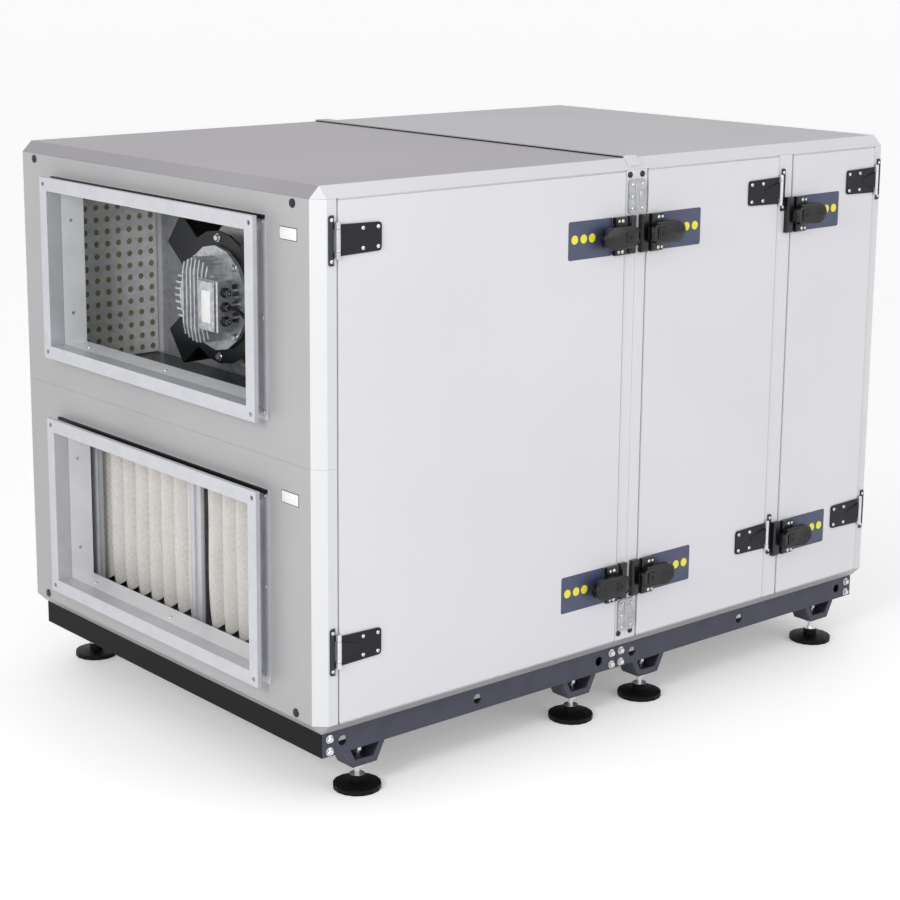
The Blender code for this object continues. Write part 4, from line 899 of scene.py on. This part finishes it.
def foot_bolts():
    """Two bolts under each rail that hold a foot's bracket, seen in the bracket's window."""
    work = bmesh.new()
    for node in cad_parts:
        if node.startswith("foot"):
            low, high = corners(node)
            x, y = (low.x + high.x) / 2, (low.y + high.y) / 2
            for side in (-1, 1):
                turn(work, (x + side * 0.018, y, high.z - 0.0004), (0, 0, -1),
                     [(0.0070, 0), (0.0070, 0.0048), (0.0058, 0.0060), (0, 0.0060)], 6)
    piece("foot_bolts", work, "zinc")


# Inside pieces
def fleece_grid(work, span, heights, front, crowns, seed):
    """Rows of vertices over rounded pleats, which are pinched at both ends and lifted at their foot."""
    start, end = span
    bottom, top = heights
    count = round((end - start) / PLEAT_PITCH)
    grid = []
    for row in range(PLEAT_ROWS + 1):
        share = row / PLEAT_ROWS
        z = bottom + (top - bottom) * share
        pinch = 1.0 - PLEAT_PINCH * (abs(share * 2 - 1) ** 6)
        line = []
        for index in range(count * PLEAT_STEPS + 1):
            pleat = index / PLEAT_STEPS
            swell = abs(math.sin(math.pi * pleat)) ** PLEAT_FULLNESS
            soft = cloud.noise(Vector((pleat * 1.7 + seed, z * 9.0, 0.3)))
            lean = PLEAT_LEAN * cloud.noise(Vector((round(pleat) + seed, z * 4.0, 5.0)))
            lift = FOOT_LIFT * (1 - swell) * max(0.0, 1 - share * 8) ** 2
            depth = PLEAT_DEPTH * swell * pinch - PLEAT_DENT * (1 + soft) * swell
            even = start + (end - start) * index / (count * PLEAT_STEPS)
            y = even + lean * swell * min(pleat, count - pleat, 1)
            line.append(work.verts.new((front - crowns * (PLEAT_DEPTH - depth), y, z + lift)))
        grid.append(line)
    return grid


def filter_media(node, crowns, seed):
    """The fleece of a cassette in place of its solid; crowns is the way its pleats face along X."""
    low, high = corners(node)
    front = low.x if crowns < 0 else high.x
    bottom, top = low.z + FILTER_RIM * 0.6, high.z - FILTER_RIM * 0.6
    work = bmesh.new()
    layer = work.loops.layers.uv.new("fleece")
    grid = fleece_grid(work, (low.y + FILTER_RIM, high.y - FILTER_RIM), (bottom, top), front, crowns, seed)
    middle = grid[PLEAT_ROWS // 2]
    lengths = [0.0]
    for near, far in zip(middle, middle[1:]):
        lengths.append(lengths[-1] + (far.co - near.co).length)
    for row in range(PLEAT_ROWS):
        for index in range(len(middle) - 1):
            places = ((row, index), (row, index + 1), (row + 1, index + 1), (row + 1, index))
            face = work.faces.new([grid[r][i] for r, i in places])
            for loop, (r, i) in zip(face.loops, places):
                loop[layer].uv = (lengths[i], (top - bottom) * r / PLEAT_ROWS)
    media = piece(f"{node}_fleece", work, "media", sharp=180)
    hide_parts(node)


def filter_rim(node, crowns):
    """A cassette's sheet rim: four sides, a lip over the fleece's edges, and a plate at the back."""
    low, high = corners(node)
    front = low.x if crowns < 0 else high.x
    back = front - crowns * (high.x - low.x)
    sides = sorted((front - crowns * 0.003, back))
    lip = sorted((front - crowns * 0.003, front - crowns * 0.0045))
    work = bmesh.new()
    for (near, far), width, inset in ((sides, RIM_SHEET, 0), (lip, FILTER_RIM, FILTER_RIM)):
        for y in ((low.y, low.y + width), (high.y - width, high.y)):
            slab(work, (near, y[0], low.z), (far, y[1], high.z))
        for z in ((low.z, low.z + width), (high.z - width, high.z)):
            slab(work, (near, low.y + inset, z[0]), (far, high.y - inset, z[1]))
    plate = sorted((back, back + crowns * RIM_SHEET))
    slab(work, (plate[0], low.y + 0.002, low.z + 0.002), (plate[1], high.y - 0.002, high.z - 0.002))
    piece(f"{node}_rim", work, "galvanised")


def upright(work, node, crowns, depths, widths, ease):
    """Adds an upright strip as tall as a cassette; depths count outward from the cassette's face."""
    low, high = corners(node)
    face = low.x if crowns < 0 else high.x
    ends = sorted(face + crowns * depth for depth in depths)
    slab(work, (ends[0], widths[0], low.z), (ends[1], widths[1], high.z), ease)


def filters():
    """Fleece and rims of the four cassettes, the divider between each two, and their guide rails."""
    cassettes = (("filter_a_1", -1), ("filter_a_2", -1), ("filter_b_1", 1), ("filter_b_2", 1))
    for index, (node, crowns) in enumerate(cassettes):
        filter_media(node, crowns, index * 7.0)
        filter_rim(node, crowns)
    work, gap = bmesh.new(), bmesh.new()
    for node, crowns in (cassettes[0], cassettes[2]):
        upright(work, node, crowns, (-0.0030, 0.0060), (CENTRE_Y - 0.017, CENTRE_Y - 0.001), 0.0010)
        upright(work, node, crowns, (-0.0030, 0.0100), (CENTRE_Y - 0.001, CENTRE_Y + 0.012), 0.0010)
        # Painted shade: a black strip in the gap between the two cassettes.
        upright(gap, node, crowns, (-0.0030, 0.0015), (CENTRE_Y + 0.012, CENTRE_Y + 0.018), 0.0006)
        for y in (corners(node)[0].y + 0.047, corners(node[:-1] + "2")[1].y - 0.104):
            upright(work, node, crowns, (0.0040, 0.0190), (y, y + 0.026), 0.0008)
            upright(work, node, crowns, (0.0190, 0.0200), (y - 0.005, y + 0.031), 0.0004)
    piece("filter_divider", work, "flange")
    piece("filter_divider_gap_shade", gap, "rubber")


def liners():
    """Perforated sheet over foam on the back wall and roof of both fan chambers, and a dark sheet of painted
    shade on their floors.
    """
    end = UNIT_END - WALL - 0.001
    wall_y, near_y = BACK_Y - WALL, DOOR_BACK + 0.0055
    back_y = wall_y - SHEET_GAP
    plate_a, plate_b = -corners("fan_plate_a")[0].x, corners("fan_plate_b")[1].x
    chambers = (("a", -1, plate_a + 0.001, DECK_HIGH.z, TOP_Z - WALL, 16),
                ("b", 1, plate_b + 0.020, FLOOR_HIGH.z, DECK_LOW.z, 8))
    for name, side, near, low_z, high_z, sides in chambers:
        low_x, high_x = sorted((side * near, side * end))
        width = high_x - low_x
        floor_z, roof_z = low_z + SHEET_GAP, high_z - SHEET_GAP
        perforated(f"liner_back_{name}", (low_x, back_y, floor_z), (1, 0, 0), (0, 0, 1),
                   (width, roof_z - floor_z), sides=sides)
        # Painted shade: a dark sheet on the chamber's floor, which lies in shade.
        pan = bmesh.new()
        slab(pan, (low_x, near_y, low_z + 0.0003), (high_x, back_y, low_z + 0.0018))
        piece(f"pan_{name}", pan, "pan")
        perforated(f"liner_roof_{name}", (low_x, near_y, roof_z), (1, 0, 0), (0, 1, 0),
                   (width, back_y - near_y), sides=sides)
        insulation(f"foam_back_{name}", (low_x, wall_y - 0.0012, low_z + 0.001),
                   (high_x, wall_y - 0.0002, high_z - 0.001))
        insulation(f"foam_roof_{name}", (low_x, near_y, high_z - 0.0012),
                   (high_x, wall_y - 0.0012, high_z - 0.0003))


def door_liner():
    """Foam and perforated sheet on the inside of door 1, beside the upper chamber."""
    plate_x, start = -corners("fan_plate_a")[0].x, 0.652
    low_z, high_z = DECK_HIGH.z, TOP_Z - WALL
    insulation("foam_door_1", (-start, DOOR_BACK + 0.0001, low_z + 0.02),
               (-plate_x - 0.020, DOOR_BACK + 0.0008, high_z - 0.02), "door_1")
    perforated("liner_door_1", (-start, DOOR_BACK + 0.0016, low_z + 0.02), (1, 0, 0), (0, 0, 1),
               (start - plate_x - 0.020, high_z - low_z - 0.04), "door_1", 8)


def motor_fittings(name, side):
    """Terminal box lid, bare plate, glands, and the bolts of motor flange and support ring."""
    low, high = corners(f"motor_{name}")
    ring_low, ring_high = corners(f"fan_support_{name}")
    centre_z = (ring_low.z + ring_high.z) / 2
    front = low.x if side < 0 else high.x
    box_low, box_high = low.y + GLAND_LENGTH, low.y + GLAND_LENGTH + TERMINAL_WIDTH
    half = TERMINAL_HEIGHT / 2
    zinc, black, plate, cast = (bmesh.new() for _ in range(4))
    lid_x = sorted((front + side * LID, front - side * LID))
    slab(cast, (lid_x[0], box_low + 0.0020, centre_z - half + 0.0020),
         (lid_x[1], box_high - 0.0020, centre_z + half - 0.0020), 0.0014)
    for y in (box_low + LID_SCREW, box_high - LID_SCREW):
        for rise in (LID_SCREW - half, half - LID_SCREW):
            screw(zinc, (front + side * LID, y, centre_z + rise), (side, 0, 0), 0.0028, 0.0018)
    middle = (box_low + box_high) / 2
    ends = sorted((front + side * LID, front + side * 0.0036))
    slab(plate, (ends[0], middle - 0.0155, centre_z - 0.030),
         (ends[1], middle + 0.0125, centre_z + 0.028), 0.0003)
    gland_x = front - side * TERMINAL_FRONT / 2
    for rise in (-GLAND_PITCH, 0.0, GLAND_PITCH):
        turn(black, (gland_x, box_low, centre_z + rise), (0, -1, 0), GLAND_NUT, 6)
        turn(black, (gland_x, box_low, centre_z + rise), (0, -1, 0), GLAND_CAP, 16)
    ring_x = ring_low.x if side < 0 else ring_high.x
    for radius, lift, angles in (SHIELD_BOLTS, RING_BOLTS):
        for angle in angles:
            away = math.radians(angle)
            y, z = CENTRE_Y + radius * math.cos(away), centre_z + radius * math.sin(away)
            hex_bolt(zinc, (ring_x + side * lift, y, z), (side, 0, 0), 0.0078, 0.0060, 0.0048)
    piece(f"motor_lid_{name}", cast, "cast")
    piece(f"motor_bolts_{name}", zinc, "zinc")
    piece(f"motor_glands_{name}", black, "black")
    piece(f"motor_plate_{name}", plate, "paper")


def smooth_line(points, parts):
    """Points along a smooth curve through the route's points, parts between each two."""
    route = [Vector(point) for point in points]
    ends = [route[0] * 2 - route[1], *route, route[-1] * 2 - route[-2]]
    line = []
    for before, near, far, after in zip(ends, ends[1:], ends[2:], ends[3:]):
        for part in range(parts):
            t = part / parts
            line.append((near * 2 + (far - before) * t + (before * 2 - near * 5 + far * 4 - after) * t ** 2
                         + (near * 3 - before - far * 3 + after) * t ** 3) / 2)
    return line + [route[-1]]


def motor_cable():
    """The cable that hangs from the motor's middle gland and goes through the inlet plate."""
    line = smooth_line(CABLE_ROUTE, 4)
    data = bpy.data.curves.new("motor_cable_sheath", "CURVE")
    data.dimensions = "3D"
    data.bevel_depth = CABLE_R
    data.bevel_resolution = 4
    data.use_fill_caps = True
    spline = data.splines.new("POLY")
    spline.points.add(len(line) - 1)
    for point, place in zip(spline.points, line):
        point.co = (*place, 1.0)
    spline.use_smooth = True
    data.materials.append(PAINT["rubber"])
    cable = bpy.data.objects.new("motor_cable_sheath", data)
    bpy.context.scene.collection.objects.link(cable)
    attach(cable, "root")
    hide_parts("motor_cable")
    grommet = bmesh.new()
    turn(grommet, CABLE_ROUTE[-1], (-1, 0, 0),
         [(0.0090, -0.0002), (0.0090, 0.0020), (0.0075, 0.0030), (0.0050, 0.0036), (0.0037, 0.0036)], 20)
    piece("cable_grommet", grommet, "rubber")


place_camera()
lay_floor()
light_studio()
motor_cable()
dress_solids()
latches()
hinges()
joint_details()
door_gap_shades()
duct_frames()
end_plates()
base_bolts()
foot_bolts()
filters()
liners()
door_liner()
motor_fittings("a", -1)
motor_fittings("b", 1)
bpy.context.view_layer.update()
